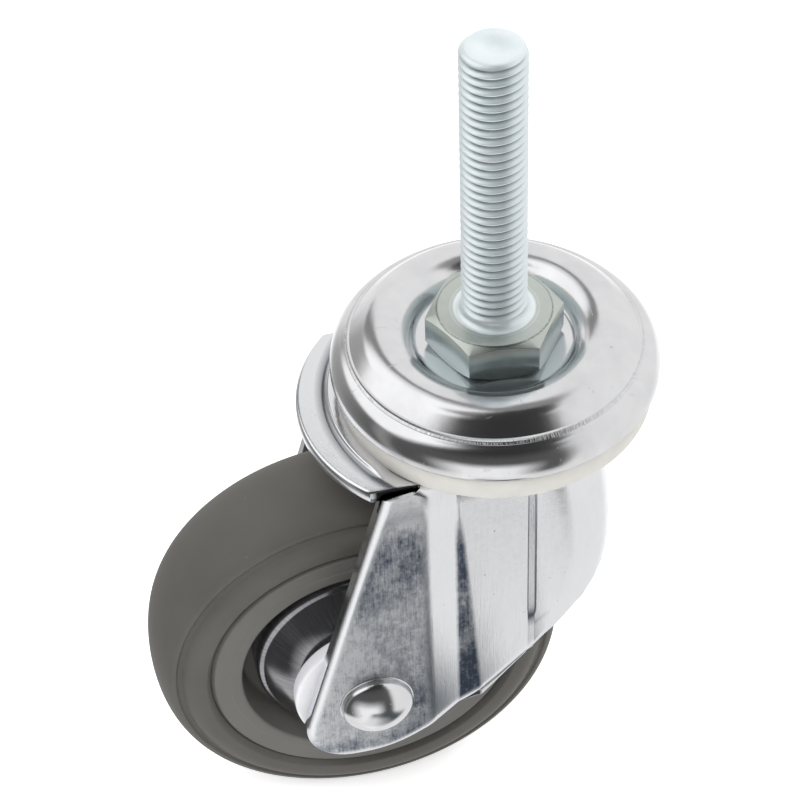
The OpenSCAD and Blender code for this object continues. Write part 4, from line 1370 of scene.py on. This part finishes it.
class CASTOR_OT_studio(CastorOperator, bpy.types.Operator):
    """Add the camera, the pale floor and the soft studio light"""

    bl_idname = "castor.studio"
    bl_label = "Studio"

    def camera(self, context, studio):
        data = bpy.data.cameras.new("camera")
        camera = bpy.data.objects.new("camera", data)
        context.collection.objects.link(camera)
        data.lens, data.sensor_width = studio.lens, 36.0
        tilt = Matrix.Rotation(math.pi / 2 - studio.camera_tilt, 4, "X")
        turn = Matrix.Rotation(-studio.camera_turn, 4, "Z")
        roll = Matrix.Rotation(studio.camera_roll, 4, "Z")
        camera.matrix_world = Matrix.Translation(studio.camera_place) @ turn @ tilt @ roll
        context.scene.camera = camera

    def area(self, context, name, place, target, size, power):
        """A soft box that faces a target and that mirrors don't see."""
        data = bpy.data.lights.new(name, "AREA")
        data.shape, data.size, data.size_y, data.energy = "RECTANGLE", size[0], size[1], power
        light = bpy.data.objects.new(name, data)
        context.collection.objects.link(light)
        light.location = place
        light.rotation_euler = (Vector(target) - Vector(place)).to_track_quat("-Z", "Y").to_euler()
        light.visible_glossy = False

    def floor(self, context, studio):
        """A wide floor under the wheel, which mirrors don't see."""
        deselect()
        bpy.ops.mesh.primitive_plane_add(size=12, location=(0, 0, low("tyre", "z")))
        floor = named("studio_floor")
        bpy.ops.object.transform_apply(location=True, rotation=True, scale=True)
        made = Finish("floor_paper")
        colour = context.scene.castor_colours.floor
        made.set(Base_Color=colour, Roughness=0.9, Emission_Color=(1.0, 1.0, 1.0),
                 Emission_Strength=studio.floor_glow, Specular_IOR_Level=0.0)
        floor.data.materials.append(made.material)
        floor.visible_glossy = False

    def card(self, context):
        """A dim, bluish card on the floor before the wheel, which only mirrors see."""
        deselect()
        height = low("tyre", "z") + 0.2 * MM
        bpy.ops.mesh.primitive_plane_add(size=1, location=(-45 * MM, -72 * MM, height))
        card = placed("floor_card", (150 * MM, 110 * MM, 1))
        made = Finish("card")
        x, y, z = made.axes()
        near_left = (1 - x.band(-34 * MM, -8 * MM)) * y.band(-96 * MM, -66 * MM)
        inside = x.window(-52 * MM, -40 * MM, 2 * MM, 16 * MM) * (
            y.window(-113 * MM, -98 * MM, -42 * MM, -34 * MM)) * (1 - near_left * 0.8)
        made.set(Base_Color=(0, 0, 0), Specular_IOR_Level=0.0, Roughness=1.0,
                 Emission_Color=(0.80, 0.90, 1.0), Emission_Strength=0.10, Alpha=inside)
        card.data.materials.append(made.material)
        for ray in ("camera", "diffuse", "transmission", "shadow"):
            setattr(card, "visible_" + ray, False)

    def world(self, context, studio):
        """Pale walls, darker behind the camera, low on the left and overhead, and a low lamp."""
        world = bpy.data.worlds.new("studio_walls")
        context.scene.world = world
        world.use_nodes = True
        tree = world.node_tree
        made = Finish("studio_walls", tree)
        x, y, z = made.split(made.node("ShaderNodeTexCoord", {}, {}, "Generated"))
        turn = made.angle(x, 0 - y)
        left = made.angle(0 - y, 0 - x)
        past_box = (turn + 90 * DEGREE - z.band(0.25, 1.0) * 45 * DEGREE).sector(-6, 12)
        past_front = (turn - z.band(0.55, 0.7) * 6 * DEGREE
                      - z.band(0.8, 1.0) * 55 * DEGREE).sector(29, 39)
        box = left.sector(-58, -46) * (1 - past_box) * z.band(0.28, 0.40)
        beside = (left + 64 * DEGREE + z.band(0.45, 0.8) * 8 * DEGREE
                  + z.band(0.78, 0.98) * 20 * DEGREE)
        gap = beside.sector(-13, -7) * (1 - beside.sector(5, 11)) * z.window(0.2, 0.28, 0.9, 0.95)
        above_floor = z.band(-0.72, -0.66)
        low_left = left.sector(-72, -58) * (1 - past_box) * above_floor * (1 - z.band(0.26, 0.36))
        overhead = z.band(0.89, 0.93) * (1 - left.sector(-80, -60) * (1 - left.sector(0, 14)))
        front = past_box * (1 - past_front) * above_floor
        lamp = turn.sector(-58, -34) * (1 - turn.sector(-2, 18)) * (1 - z.band(-0.24, 0.12))
        low_back = y.band(0.3, 0.6) * (1 - z.band(-0.40, -0.20))
        light = box * 0.28 + low_back * 0.25 + 0.90
        light = light.toward(0.24, gap)
        light = light.toward(0.42 - left.sector(-58, -2) * 0.33, low_left)
        light = light.toward(0.25, overhead)
        light = light.toward(0.095 - z.band(0.40, 0.75) * 0.06, front)
        light = light.toward(1.05, lamp)
        seen = made.node("ShaderNodeLightPath", {}, {}, "Is Camera Ray")
        background = tree.nodes["Background"].inputs
        made.feed(background["Strength"], seen + (1 - seen) * light * studio.world_light)
        made.feed(background["Color"], (1, 1, 1))

    def execute(self, context):
        studio = context.scene.castor_studio
        context.scene.view_settings.view_transform = "Standard"
        self.camera(context, studio)
        self.floor(context, studio)
        self.card(context)
        self.world(context, studio)
        middle = Vector((-10 * MM, 0, -30 * MM))
        self.area(context, "key_box", (-0.20, -0.35, 0.60), middle, (0.35, 0.35), 3.0)
        self.area(context, "back_box", (0.3, 0.6, 0.5), middle, (0.6, 0.4), 3.0)
        return {"FINISHED"}


OPERATORS = (
    CASTOR_OT_studio,
    CASTOR_OT_stem,
    CASTOR_OT_head,
    CASTOR_OT_nut,
    CASTOR_OT_fork,
    CASTOR_OT_axle,
    CASTOR_OT_wheel,
    CASTOR_OT_inner,
)


class CASTOR_PT_panel(bpy.types.Panel):
    """Lists the castor's operators."""

    bl_idname = "CASTOR_PT_panel"
    bl_label = "Swivel Castor"
    bl_space_type = "VIEW_3D"
    bl_region_type = "UI"
    bl_category = "Castor"

    def draw(self, context):
        for operator in OPERATORS:
            self.layout.operator(operator.bl_idname)
        for name, group in GROUPS.items():
            box = self.layout.box()
            settings = getattr(context.scene, name)
            for prop in group.__annotations__:
                box.prop(settings, prop)


def register():
    for group in GROUPS.values():
        bpy.utils.register_class(group)
    for name, group in GROUPS.items():
        setattr(bpy.types.Scene, name, PointerProperty(type=group))
    for operator in OPERATORS:
        bpy.utils.register_class(operator)
    bpy.utils.register_class(CASTOR_PT_panel)


def unregister():
    bpy.utils.unregister_class(CASTOR_PT_panel)
    for operator in reversed(OPERATORS):
        bpy.utils.unregister_class(operator)
    for name, group in GROUPS.items():
        delattr(bpy.types.Scene, name)
        bpy.utils.unregister_class(group)


def main():
    register()
    for operator in OPERATORS:
        kind, name = operator.bl_idname.split(".")
        getattr(getattr(bpy.ops, kind), name)()


if __name__ == "__main__":
    main()
